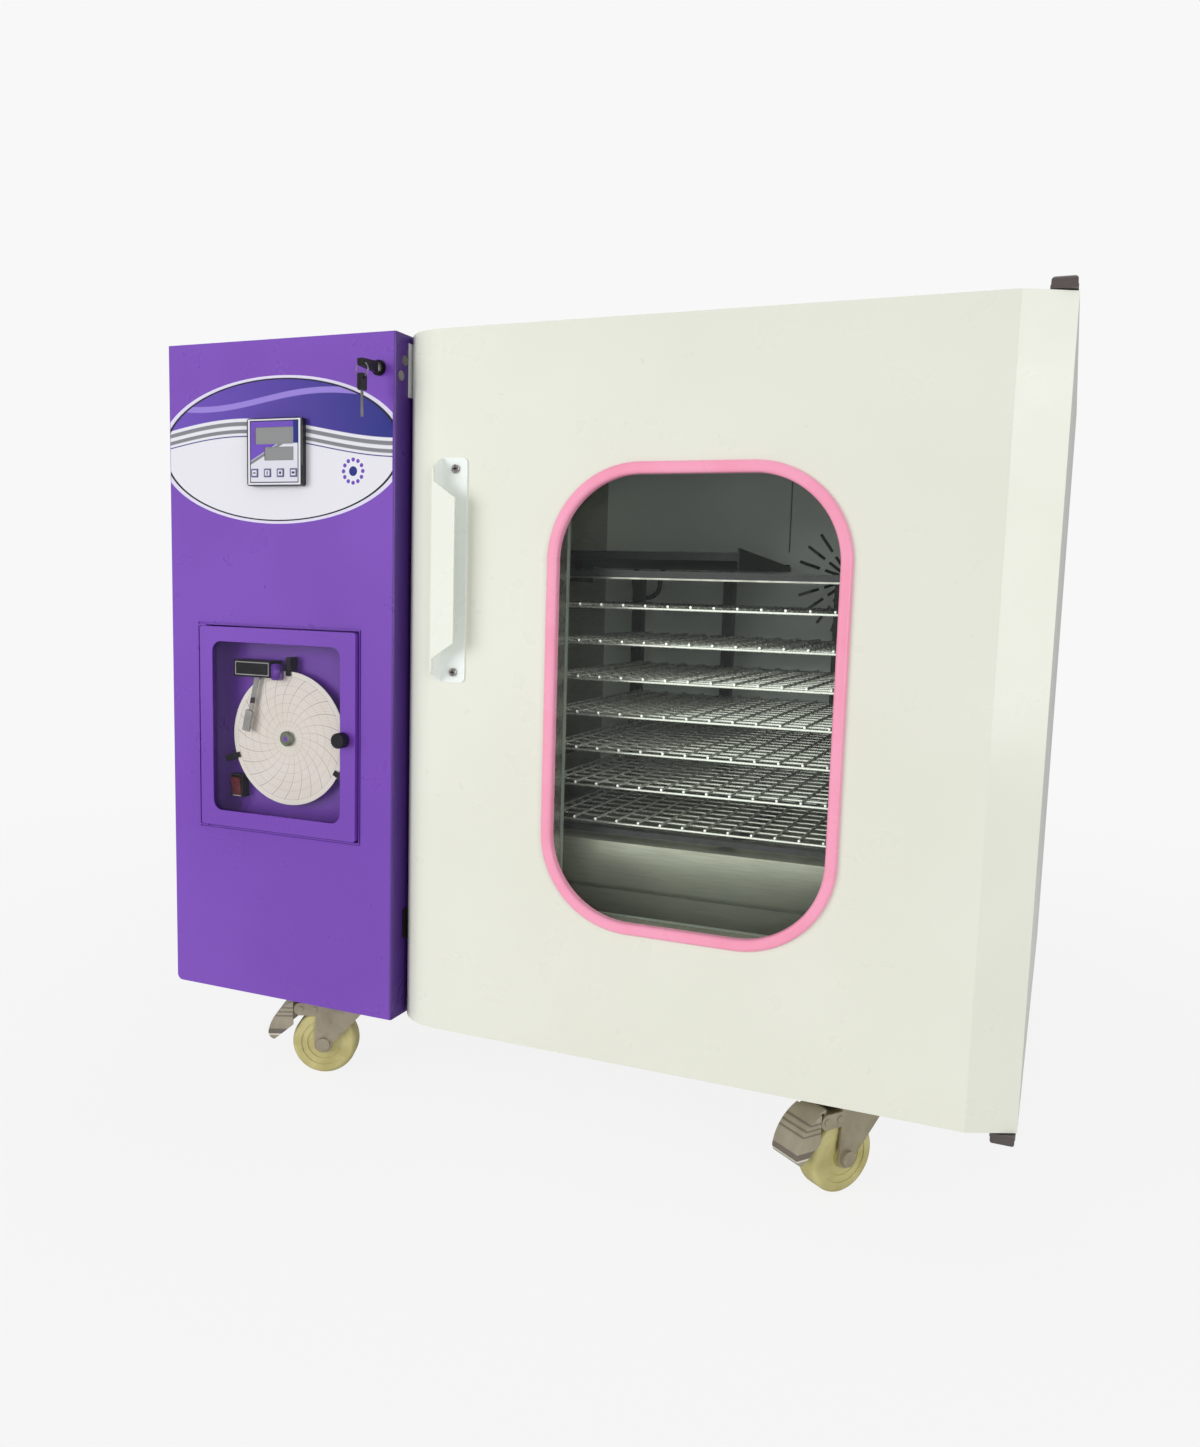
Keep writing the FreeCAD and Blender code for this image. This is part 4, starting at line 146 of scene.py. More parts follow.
class Paint:
    """A material built from nodes, with short calls for the nodes used here."""

    def __init__(self, name):
        self.material = bpy.data.materials.new(name)
        self.material.use_nodes = True
        self.tree = self.material.node_tree
        self.tree.nodes.clear()
        self.place = self.put("ShaderNodeTexCoord").outputs["Object"]

    def put(self, kind, inputs=None, **settings):
        node = self.tree.nodes.new(kind)
        for key, value in settings.items():
            setattr(node, key, value)
        for key, value in (inputs or {}).items():
            self.feed(node.inputs[key], value)
        return node

    def feed(self, socket, value):
        if isinstance(value, bpy.types.NodeSocket):
            self.tree.links.new(value, socket)
        else:
            socket.default_value = value

    def math(self, operation, first, second=0.0, third=0.0, clamp=False):
        node = self.put("ShaderNodeMath", {0: first, 1: second, 2: third},
                        operation=operation, use_clamp=clamp)
        return node.outputs[0]

    def less(self, first, second):
        return self.math("SUBTRACT", first, second)

    def times(self, first, second):
        return self.math("MULTIPLY", first, second)

    def over(self, first, second):
        return self.math("DIVIDE", first, second)

    def size(self, value):
        return self.math("ABSOLUTE", value)

    def length(self, first, second):
        """Length of a vector with these two parts."""
        return self.math("SQRT", self.math("ADD", self.times(first, first),
                                           self.times(second, second)))

    def from_whole(self, value):
        """How far a value lies from the nearest whole number, with its sign."""
        return self.less(value, self.math("ROUND", value))

    def axes(self):
        """x, y and z of the surface point, in metres of the row frame."""
        split = self.put("ShaderNodeSeparateXYZ", {0: self.place})
        return split.outputs[0], split.outputs[1], split.outputs[2]

    def scaled(self, x, y, z):
        """The surface point with each axis scaled, to stretch a pattern."""
        return self.put("ShaderNodeVectorMath", {0: self.place, 1: (x, y, z)},
                        operation="MULTIPLY").outputs[0]

    def noise(self, scale, detail=3.0, place=None, roughness=0.5):
        node = self.put("ShaderNodeTexNoise", {"Vector": place or self.place, "Scale": scale,
                                               "Detail": detail, "Roughness": roughness})
        return node.outputs["Fac"]

    def ramp(self, value, low, high, start=0.0, end=1.0):
        """Value mapped from low..high to start..end, and held there outside."""
        return self.put("ShaderNodeMapRange", {0: value, 1: low, 2: high, 3: start, 4: end},
                        clamp=True).outputs[0]

    def rise(self, value, edge, soft=EDGE):
        """0 below an edge and 1 above it, blended over soft on each side."""
        return self.ramp(value, edge - soft, edge + soft)

    def fall(self, value, edge, soft=EDGE):
        """1 below an edge and 0 above it, blended over soft on each side."""
        return self.ramp(value, edge - soft, edge + soft, 1.0, 0.0)

    def within(self, value, low, high, soft=EDGE):
        """1 where value lies from low to high, with edges softened over soft."""
        return self.times(self.rise(value, low, soft), self.fall(value, high, soft))

    def inside(self, places, lows, highs, soft=EDGE):
        """1 where each place lies from its low to its high."""
        return self.both(*[self.within(place, low, high, soft)
                           for place, low, high in zip(places, lows, highs)])

    def both(self, *masks):
        return self.joined("MULTIPLY", masks)

    def either(self, *masks):
        return self.joined("MAXIMUM", masks)

    def joined(self, operation, masks):
        result = masks[0]
        for mask in masks[1:]:
            result = self.math(operation, result, mask)
        return result

    def inverse(self, mask):
        return self.less(1.0, mask)

    def mix(self, share, first, second):
        node = self.put("ShaderNodeMix", data_type="RGBA", blend_type="MIX")
        colours = [socket for socket in node.inputs if socket.type == "RGBA"]
        self.feed(node.inputs[0], share)
        self.feed(colours[0], first)
        self.feed(colours[1], second)
        return [socket for socket in node.outputs if socket.type == "RGBA"][0]

    def clouded(self, noise, tones):
        """The two tones of a pair in soft clouds."""
        return self.mix(self.ramp(noise, *CLOUD_RANGE), *tones)

    def uneven(self, noise, roughness, smoother, rougher):
        """Roughness that the noise makes a little smoother or rougher."""
        return self.ramp(noise, *WIDE_RANGE, roughness - smoother, roughness + rougher)

    def blend(self, mask, first, second):
        """A number that goes from first to second where the mask shows."""
        return self.ramp(mask, 0.0, 1.0, first, second)

    def bump(self, height, strength, distance=GRAIN_DEPTH):
        return self.put("ShaderNodeBump", {"Height": height, "Strength": strength,
                                           "Distance": distance}).outputs[0]

    def grain(self, scale, strength):
        """Fine relief of a moulded or painted skin."""
        return self.bump(self.noise(scale, detail=2.0), strength)

    def surface(self, colour, roughness, metallic=0.0, normal=None, coat=None):
        """Principled shader; coat is the weight and roughness of a clear coat."""
        inputs = {"Base Color": colour, "Roughness": roughness, "Metallic": metallic}
        if normal is not None:
            inputs["Normal"] = normal
        if coat:
            inputs["Coat Weight"], inputs["Coat Roughness"] = coat
        return self.put("ShaderNodeBsdfPrincipled", inputs)

    def done(self, shader):
        self.put("ShaderNodeOutputMaterial", {"Surface": shader.outputs[0]})
        return self.material


# Materials

def powder_coat(name, tones, roughness=0.3, part_of=None, part_colour=None):
    """Baked powder paint with the fine ripple of orange peel; part_of masks a second colour."""
    drift_scale, gloss_scale, peel_scale = 5.0, 24.0, 260.0
    paint = Paint(name)
    tone = paint.clouded(paint.noise(drift_scale, detail=2.0), tones)
    if part_of:
        tone = paint.mix(part_of(paint), tone, part_colour)
    peel = paint.noise(peel_scale, detail=1.0, roughness=0.3)
    rough = paint.uneven(paint.noise(gloss_scale), roughness, smoother=0.04, rougher=0.05)
    relief = paint.bump(peel, strength=0.03, distance=0.6 * MM)
    return paint.done(paint.surface(tone, rough, normal=relief, coat=(0.35, 0.12)))


def cover_side_painted_shade(paint):
    """Painted shade on the right side of the cover, where the door shades it."""
    bend_start, bend_end = 3.0 * MM, 0.2 * MM
    x, _, _ = paint.axes()
    return paint.ramp(x, COVER_HIGH.x - bend_start, COVER_HIGH.x - bend_end)


def handle_hollow_painted_light(paint):
    """Plate and inner faces of the handle, behind its lip, where a paler tone is painted as
    painted light.
    """
    lip_depth, hollow_depth = 2.2 * MM, 6.0 * MM
    _, y, _ = paint.axes()
    low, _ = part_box("door_handle")
    return paint.ramp(y, low.y + lip_depth, low.y + hollow_depth)


def brushed_metal(name, tones, stretch, roughness=0.34, strength=0.12, metallic=1.0):
    """Sheet metal with fine parallel scratches; stretch is small along the grain."""
    grain_scale, cloud_scale, cloud_share = 900.0, 14.0, 0.6
    paint = Paint(name)
    grain = paint.noise(grain_scale, place=paint.scaled(*stretch))
    cloud = paint.noise(cloud_scale, detail=4.0)
    shade = paint.math("MULTIPLY_ADD", cloud, cloud_share, grain)
    tone = paint.mix(paint.ramp(shade, low=0.5, high=1.1), *tones)
    rough = paint.uneven(grain, roughness, smoother=0.08, rougher=0.1)
    return paint.done(paint.surface(tone, rough, metallic, paint.bump(grain, strength)))


def worn_zinc(name):
    """Zinc-plated pressed steel, dulled warm grey by use."""
    cloud_scale, grime_scale, most_grime, metallic = 34.0, 90.0, 0.35, 0.55
    grime_colour = linear(128, 116, 96)
    paint = Paint(name)
    cloud = paint.noise(cloud_scale, detail=4.0)
    grime = paint.noise(grime_scale)
    tone = paint.mix(paint.ramp(grime, low=0.55, high=0.8, end=most_grime),
                     paint.clouded(cloud, ZINC), grime_colour)
    rough = paint.ramp(cloud, *CLOUD_RANGE, start=0.34, end=0.46)
    return paint.done(paint.surface(tone, rough, metallic, paint.bump(grime, strength=0.05)))


def pedal_zinc(name, node):
    """Zinc of a brake pedal: darker pressed ribs near the top, a dark band, and below it a bright
    lip that is a painted highlight.
    """
    rib_starts, rib_width, rib_darkness, rib_depth = (0.20, 0.30, 0.40), 0.035, 0.6, 2.0
    band_start, band_end, band_darkness = 0.74, 0.86, 0.7
    lip_start, lip_end = 0.868, 0.90
    mark_soft, lip_soft = 0.008, 0.006
    rib_colour, band_colour = linear(96, 88, 76), linear(104, 92, 90)
    # Near-white painted highlight along the pedal's lip
    lip_highlight_colour = linear(246, 240, 226)
    paint = Paint(name)
    low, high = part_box(node)
    _, _, z = paint.axes()
    down = paint.over(paint.less(high.z, z), high.z - low.z)
    tone = paint.clouded(paint.noise(40.0, detail=4.0), PEDAL_ZINC)
    ribs = paint.either(*[paint.within(down, start, start + rib_width, mark_soft)
                          for start in rib_starts])
    tone = paint.mix(paint.times(ribs, rib_darkness), tone, rib_colour)
    band = paint.within(down, band_start, band_end, mark_soft)
    tone = paint.mix(paint.times(band, band_darkness), tone, band_colour)
    # Painted highlight along the lip
    tone = paint.mix(paint.within(down, lip_start, lip_end, lip_soft), tone, lip_highlight_colour)
    height = paint.math("MULTIPLY_ADD", ribs, -rib_depth, paint.noise(90.0))
    relief = paint.bump(height, strength=0.25, distance=0.4 * MM)
    return paint.done(paint.surface(tone, roughness=0.38, metallic=0.5, normal=relief))


def screw_finish(name):
    """Dark chrome screw heads with a cross recess, painted dark as painted shade and pressed in
    with a bump.
    """
    cross_reach, cross_soft = 2.48 * MM, 0.08 * MM
    bar_half, bar_soft = 0.7 * MM, 0.1 * MM
    recess_depth, recess_shade_colour = 0.6 * MM, linear(40, 34, 34)
    paint = Paint(name)
    x, _, z = paint.axes()
    low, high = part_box("handle_screws")
    radius = (high.x - low.x) / 2
    across = paint.size(paint.less(x, low.x + radius))
    crosses = []
    for centre_z in (low.z + radius, high.z - radius):
        up = paint.size(paint.less(z, centre_z))
        near = paint.both(paint.fall(up, cross_reach, cross_soft),
                          paint.fall(across, cross_reach, cross_soft))
        bars = paint.either(paint.fall(up, bar_half, bar_soft),
                            paint.fall(across, bar_half, bar_soft))
        crosses.append(paint.both(near, bars))
    cross = paint.either(*crosses)
    tone = paint.mix(paint.ramp(paint.noise(260.0), *WIDE_RANGE), *SCREW_CHROME)
    # The cross recess is painted dark as painted shade
    tone = paint.mix(cross, tone, recess_shade_colour)
    relief = paint.bump(paint.times(cross, -1.0), strength=0.6, distance=recess_depth)
    return paint.done(paint.surface(tone, roughness=0.24, metallic=0.95, normal=relief))


def plain_plastic(name, tones, roughness=0.4, grain_scale=700.0, strength=0.08):
    """Moulded plastic with a faint etched grain."""
    paint = Paint(name)
    cloud = paint.noise(40.0)
    rough = paint.uneven(cloud, roughness, smoother=0.05, rougher=0.06)
    return paint.done(paint.surface(paint.clouded(cloud, tones), rough,
                                    normal=paint.grain(grain_scale, strength)))


def soft_rubber(name, tones, roughness=0.42):
    """Rubber with a fine matt skin."""
    cloud_scale, skin_scale, skin_depth = 18.0, 420.0, 0.3 * MM
    paint = Paint(name)
    cloud = paint.noise(cloud_scale, detail=4.0)
    tone = paint.mix(paint.ramp(cloud, low=0.36, high=0.66), *tones)
    rough = paint.uneven(cloud, roughness, smoother=0.06, rougher=0.08)
    skin = paint.bump(paint.noise(skin_scale), strength=0.1, distance=skin_depth)
    return paint.done(paint.surface(tone, rough, normal=skin, coat=(0.15, 0.3)))


def clear_sheet(name, tint, haze, roughness):
    """Flat glass that lets light through and mirrors a little, with a trace of dust."""
    refraction = 1.25
    paint = Paint(name)
    smear = paint.noise(9.0, detail=5.0, roughness=0.65)
    through = paint.put("ShaderNodeBsdfTransparent", {"Color": tint})
    dust = paint.put("ShaderNodeBsdfDiffuse", {"Color": DUST})
    film = paint.put("ShaderNodeMixShader",
                     {0: paint.ramp(smear, low=0.45, high=0.75, end=haze),
                      1: through.outputs[0], 2: dust.outputs[0]})
    mirror = paint.put("ShaderNodeBsdfGlossy", {"Roughness": roughness})
    fresnel = paint.put("ShaderNodeFresnel", {"IOR": refraction})
    return paint.done(paint.put("ShaderNodeMixShader",
                                {0: fresnel.outputs[0], 1: film.outputs[0],
                                 2: mirror.outputs[0]}))


def foam_fill(name):
    """Foam with visible cells."""
    paint = Paint(name)
    voronoi = paint.put("ShaderNodeTexVoronoi", {"Vector": paint.place, "Scale": 420.0})
    cells = voronoi.outputs["Distance"]
    relief = paint.bump(cells, strength=0.4, distance=0.8 * MM)
    return paint.done(paint.surface(paint.mix(cells, *FOAM), roughness=0.9, normal=relief))


def chart_print(name):
    """Chart paper: rings, curved time lines and a metal hub in the middle."""
    pen_reach = 62 * MM
    fine_turns, main_turns = 96, 24
    fine_ring_count, main_ring_count = 38, 7.6
    grid_start, grid_end = 0.17, 0.93
    hub_depth = 5.4 * MM
    faint_colour, bold_colour = linear(226, 190, 178), linear(156, 150, 138)
    paint = Paint(name)
    low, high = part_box("chart_disc")
    centre = (low + high) / 2
    outer = (high.x - low.x) / 2
    x, y, z = paint.axes()
    across = paint.less(x, centre.x)
    up = paint.less(z, centre.z)
    radius = paint.length(across, up)
    bend = paint.math("ARCSINE", paint.over(radius, 2 * pen_reach))
    swept = paint.math("ADD", paint.math("ARCTAN2", up, across), bend)

    def lines(value, pitch, width):
        """1 on evenly spaced lines; width is a share of the pitch."""
        away = paint.size(paint.from_whole(paint.over(value, pitch)))
        return paint.ramp(away, width * 0.5, width, 1.0, 0.0)

    fine = paint.either(lines(swept, math.tau / fine_turns, width=0.09),
                        lines(radius, outer / fine_ring_count, width=0.1))
    main_rings = paint.times(lines(radius, outer / main_ring_count, width=0.045), 0.6)
    main = paint.either(lines(swept, math.tau / main_turns, width=0.045), main_rings)
    on_grid = paint.within(radius, outer * grid_start, outer * grid_end, 0.2 * MM)
    wear = paint.ramp(paint.noise(30.0, detail=4.0), low=0.35, high=0.7)
    tone = paint.mix(wear, *CHART_PAPER)
    tone = paint.mix(paint.times(paint.both(fine, on_grid), 0.35), tone, faint_colour)
    tone = paint.mix(paint.times(paint.both(main, on_grid), 0.5), tone, bold_colour)
    hub = paint.within(y, low.y - MM, low.y + hub_depth)
    metal = paint.mix(paint.ramp(paint.noise(60.0, detail=4.0), *WIDE_RANGE), *HUB_METAL)
    tone = paint.mix(hub, tone, metal)
    return paint.done(paint.surface(tone, paint.blend(hub, 0.8, 0.38), paint.times(hub, 0.5),
                                    paint.bump(paint.noise(500.0), strength=0.03)))


def pen_finish(name):
    """Grey pen arm with a small dark clip half way down."""
    clip_start, clip_end, clip_colour = 0.44, 0.53, linear(70, 54, 62)
    paint = Paint(name)
    _, _, z = paint.axes()
    low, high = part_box("pen_arm")
    reach = high.z - low.z
    clip = paint.within(z, low.z + clip_start * reach, low.z + clip_end * reach)
    tone = paint.mix(clip, paint.clouded(paint.noise(60.0), PEN_GREY), clip_colour)
    return paint.done(paint.surface(tone, roughness=0.38, metallic=0.2,
                                    normal=paint.grain(500.0, strength=0.05)))


def label_print(name):
    """Oval film with a plain design: two wide waves, stripes, and a ring of dots."""
    half_width = 163 * MM
    wave_edge = 0.004
    stripes = ((-0.10, -0.045, BAND_GREY), (-0.20, -0.15, BAND_GREY), (-0.25, -0.235, NAVY))
    ring_x, ring_z, ring_radius = 0.60, -0.30, 12.0 * MM
    spot_count, spot_radius, middle_radius, spot_soft = 12, 2.2 * MM, 5.1 * MM, 0.1 * MM
    line_start, line_end, rim_start = 0.945, 0.965, 0.965
    paint = Paint(name)
    low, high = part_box("graphic_label")
    centre_x = (COVER_LOW.x + COVER_HIGH.x) / 2
    centre_z = (low.z + high.z) / 2
    half_height = (high.z - low.z) / 2
    x, _, z = paint.axes()
    u = paint.over(paint.less(x, centre_x), half_width)
    v = paint.over(paint.less(z, centre_z), half_height)

    def over_wave(phase, length, height, offset):
        """How far v stands over a sine wave across the oval."""
        crest = paint.math("SINE", paint.math("MULTIPLY_ADD", u, math.tau / length, phase))
        return paint.less(v, paint.math("MULTIPLY_ADD", crest, height, offset))

    first = over_wave(phase=2.3, length=2.6, height=0.16, offset=0.28)
    upper = paint.rise(first, 0.0, wave_edge)
    shade = paint.mix(paint.ramp(u, -0.9, 0.9), VIOLET, NAVY)
    tone = paint.mix(upper, FILM_WHITE, shade)
    for start, end, ink in stripes:
        tone = paint.mix(paint.within(first, start, end, wave_edge), tone, ink)
    second = over_wave(phase=0.4, length=1.9, height=0.10, offset=0.66)
    tone = paint.mix(paint.both(paint.within(second, -0.02, 0.06, wave_edge), upper),
                     tone, PALE_VIOLET)
    across = paint.times(paint.less(u, ring_x), half_width)
    above = paint.times(paint.less(v, ring_z), half_height)
    from_middle = paint.length(across, above)
    spot_turn = math.tau / spot_count
    turns = paint.over(paint.math("ARCTAN2", above, across), spot_turn)
    off_turn = paint.times(paint.from_whole(turns), spot_turn * ring_radius)
    from_spot = paint.length(off_turn, paint.less(from_middle, ring_radius))
    tone = paint.mix(paint.fall(from_spot, spot_radius, spot_soft), tone, VIOLET)
    tone = paint.mix(paint.fall(from_middle, middle_radius, spot_soft), tone, NAVY)
    rim = paint.length(u, v)
    tone = paint.mix(paint.within(rim, line_start, line_end, SHARE_EDGE), tone, INK)
    # The film's rim gets a slightly darker violet tone as painted shade
    tone = paint.mix(paint.rise(rim, rim_start, SHARE_EDGE), tone, FILM_RIM_SHADE)
    ripple = paint.bump(paint.noise(45.0, detail=2.0), strength=0.1, distance=0.4 * MM)
    return paint.done(paint.surface(tone, roughness=0.26, normal=ripple, coat=(0.5, 0.1)))


def controller_print(name):
    """Black case with a printed face: white border, violet field and grey displays."""
    paint = Paint(name)
    low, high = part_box("controller_case")
    x, y, z = paint.axes()
    u = paint.over(paint.less(x, low.x), high.x - low.x)
    v = paint.over(paint.less(z, low.z), high.z - low.z)
    in_field = paint.inside((u, v), (0.07, 0.06), (0.93, 0.95), SHARE_EDGE)
    in_line = paint.inside((u, v), (0.055, 0.045), (0.945, 0.965), SHARE_EDGE)
    in_rim = paint.inside((u, v), (0.02, 0.017), (0.98, 0.985), SHARE_EDGE)
    slope = paint.less(v, paint.math("MULTIPLY_ADD", u, 0.5, 0.34))
    field = paint.mix(paint.rise(slope, 0.0, 0.005), FIELD_WHITE, VIOLET)
    field = paint.mix(paint.within(slope, -0.06, -0.01, 0.004), field, BAND_GREY)
    corner = paint.both(paint.rise(u, 0.8475, 0.0025), paint.rise(v, 0.625, 0.005))
    field = paint.mix(corner, field, NAVY)
    face = paint.mix(in_field, paint.mix(in_line, FACE_WHITE, INK), field)
    depth = paint.less(y, low.y)
    at_front = paint.fall(depth, 0.95 * MM)
    in_display = paint.both(paint.within(depth, 0.35 * MM, 1.25 * MM),
                            paint.rise(v, 0.305, 0.005))
    tone = paint.mix(paint.both(at_front, in_rim), BLACK, face)
    tone = paint.mix(in_display, tone, DISPLAY_GREY)
    return paint.done(paint.surface(tone, paint.blend(in_display, 0.36, 0.16),
                                    normal=paint.grain(600.0, strength=0.05),
                                    coat=(0.2, 0.1)))


def key_print(index):
    """White key with a violet-grey frame and a small dark sign."""
    signs = ((0.2, 0.08), (0.08, 0.22), (0.16, 0.16), (0.22, 0.13))
    frame_inside, soft = 0.34, 0.03
    frame_colour, key_white, sign_ink = (linear(108, 98, 140), linear(222, 221, 232),
                                         linear(44, 42, 66))
    paint = Paint(f"key_print_{index}")
    low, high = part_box(f"controller_key_{index}")
    x, _, z = paint.axes()
    across = paint.size(paint.over(paint.less(x, (low.x + high.x) / 2), high.x - low.x))
    up = paint.size(paint.over(paint.less(z, (low.z + high.z) / 2), high.z - low.z))
    wide, tall = signs[index - 1]
    in_frame = paint.both(paint.fall(across, frame_inside, soft),
                          paint.fall(up, frame_inside, soft))
    sign = paint.both(paint.fall(across, wide, soft), paint.fall(up, tall, soft))
    tone = paint.mix(in_frame, frame_colour, key_white)
    tone = paint.mix(sign, tone, sign_ink)
    return paint.done(paint.surface(tone, roughness=0.4,
                                    normal=paint.grain(500.0, strength=0.05)))


def two_tone(name, mask_of, first, second, roughness, metallic=(0.0, 0.0)):
    """One node's surface in two finishes; mask_of(paint) is 1 where the second shows."""
    paint = Paint(name)
    mask = mask_of(paint)
    cloud = paint.noise(60.0, detail=4.0)
    tone = paint.mix(mask, paint.clouded(cloud, first), paint.clouded(cloud, second))
    return paint.done(paint.surface(tone, paint.blend(mask, *roughness),
                                    paint.blend(mask, *metallic),
                                    paint.grain(520.0, strength=0.08)))


def key_mask(paint):
    """Steel parts of the key in the lock: all behind the head."""
    head_depth = 30 * MM
    _, y, _ = paint.axes()
    low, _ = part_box("lock_key")
    return paint.rise(y, low.y + head_depth, 0.1 * MM)


def spare_mask(paint):
    """Steel parts of the spare key: the ring above its head and the blade below."""
    head_drop, head_height, head_half = 11.4 * MM, 17 * MM, 2.6 * MM
    x, _, z = paint.axes()
    low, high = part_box("spare_key")
    head_high = high.z - head_drop
    centre = (low.x + high.x) / 2
    return paint.inverse(paint.inside((z, x), (head_high - head_height, centre - head_half),
                                      (head_high, centre + head_half)))


def fittings_finish(name):
    """Dark lock bush, bright screws, white strike strip and black oval plug."""
    strip_y, strip_z = (24.2 * MM, 31.8 * MM), (671 * MM, 728 * MM)
    plug_top, metallic = 140.5 * MM, 0.9
    paint = Paint(name)
    x, y, z = paint.axes()
    side = paint.rise(x, COVER_HIGH.x - EDGE)
    strip = paint.both(side, paint.inside((y, z), (FRONT + strip_y[0], BODY_FLOOR + strip_z[0]),
                                          (FRONT + strip_y[1], BODY_FLOOR + strip_z[1])))
    plug = paint.fall(z, BODY_FLOOR + plug_top, 0.5 * MM)
    cloud = paint.noise(60.0, detail=4.0)
    tone = paint.mix(side, paint.clouded(cloud, BUSH_METAL), paint.clouded(cloud, STEEL))
    tone = paint.mix(strip, tone, STRIKE_WHITE)
    tone = paint.mix(plug, tone, BLACK)
    metal = paint.math("SUBTRACT", metallic, paint.either(strip, plug), clamp=True)
    return paint.done(paint.surface(tone, roughness=0.34, metallic=metal,
                                    normal=paint.grain(500.0, strength=0.06)))


def rack_mask(paint):
    """Steel strip along the lower edge of the rack's front lip."""
    lip_depth, edge_low, edge_high = 1.05 * MM, 9.2 * MM, 7.2 * MM
    _, y, z = paint.axes()
    low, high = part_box("rack_frame")
    return paint.both(paint.fall(y, low.y + lip_depth),
                      paint.within(z, high.z - edge_low, high.z - edge_high))


def coil_mask(paint):
    """Aluminium coil behind the duct panel; the drip tray before it stays black."""
    _, y, _ = paint.axes()
    _, cable_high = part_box("sensor_cable")
    return paint.rise(y, cable_high.y + 2.5 * MM, 0.5 * MM)


def condenser_mask(paint):
    """Aluminium condenser behind the compressor."""
    condenser_start = 340.5 * MM
    _, y, _ = paint.axes()
    low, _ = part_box("condensing_unit")
    return paint.rise(y, low.y + condenser_start, 0.5 * MM)


def inlet_mask(paint):
    """Brass pins in the appliance inlet."""
    pin_back, pin_front = 17 * MM, 1 * MM
    earth_half, side_pin = 1.25 * MM, (5.8 * MM, 8.2 * MM)
    pin_low, pin_high = 7 * MM, 2.2 * MM
    x, y, z = paint.axes()
    low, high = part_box("mains_inlet")
    centre = (low + high) / 2
    beside = paint.size(paint.less(x, centre.x))
    pins = paint.either(paint.fall(beside, earth_half), paint.within(beside, *side_pin))
    return paint.both(pins, paint.inside((y, z), (high.y - pin_back, centre.z - pin_low),
                                         (high.y - pin_front, centre.z + pin_high)))


def housing_mask(paint):
    """Pale border line on the pen housing's plate, and the line under the switch."""
    plate_left, plate_low = COVER_LOW.x + 83 * MM, BODY_FLOOR + 368 * MM
    line_left, line_right, line_low, line_high = 2 * MM, 48.5 * MM, 2 * MM, 17 * MM
    line_width = MM
    switch_gap, switch_line = 0.4 * MM, 1.5 * MM
    x, y, z = paint.axes()
    low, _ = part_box("recorder_fittings")
    switch_low, switch_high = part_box("recorder_switch")
    under_switch = paint.inside((x, z), (switch_low.x, switch_low.z - switch_line),
                                (switch_high.x, switch_low.z - switch_gap))

    def plate_area(inset):
        return paint.inside((x, z), (plate_left + line_left + inset, plate_low + line_low + inset),
                            (plate_left + line_right - inset, plate_low + line_high - inset))

    border = paint.both(paint.fall(y, low.y + 0.25 * MM), plate_area(0.0),
                        paint.inverse(plate_area(line_width)))
    return paint.either(border, under_switch)


def dress(material, *nodes):
    """Gives CAD nodes their material."""
    for node in nodes:
        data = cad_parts[node].data
        data.materials.clear()
        data.materials.append(material)


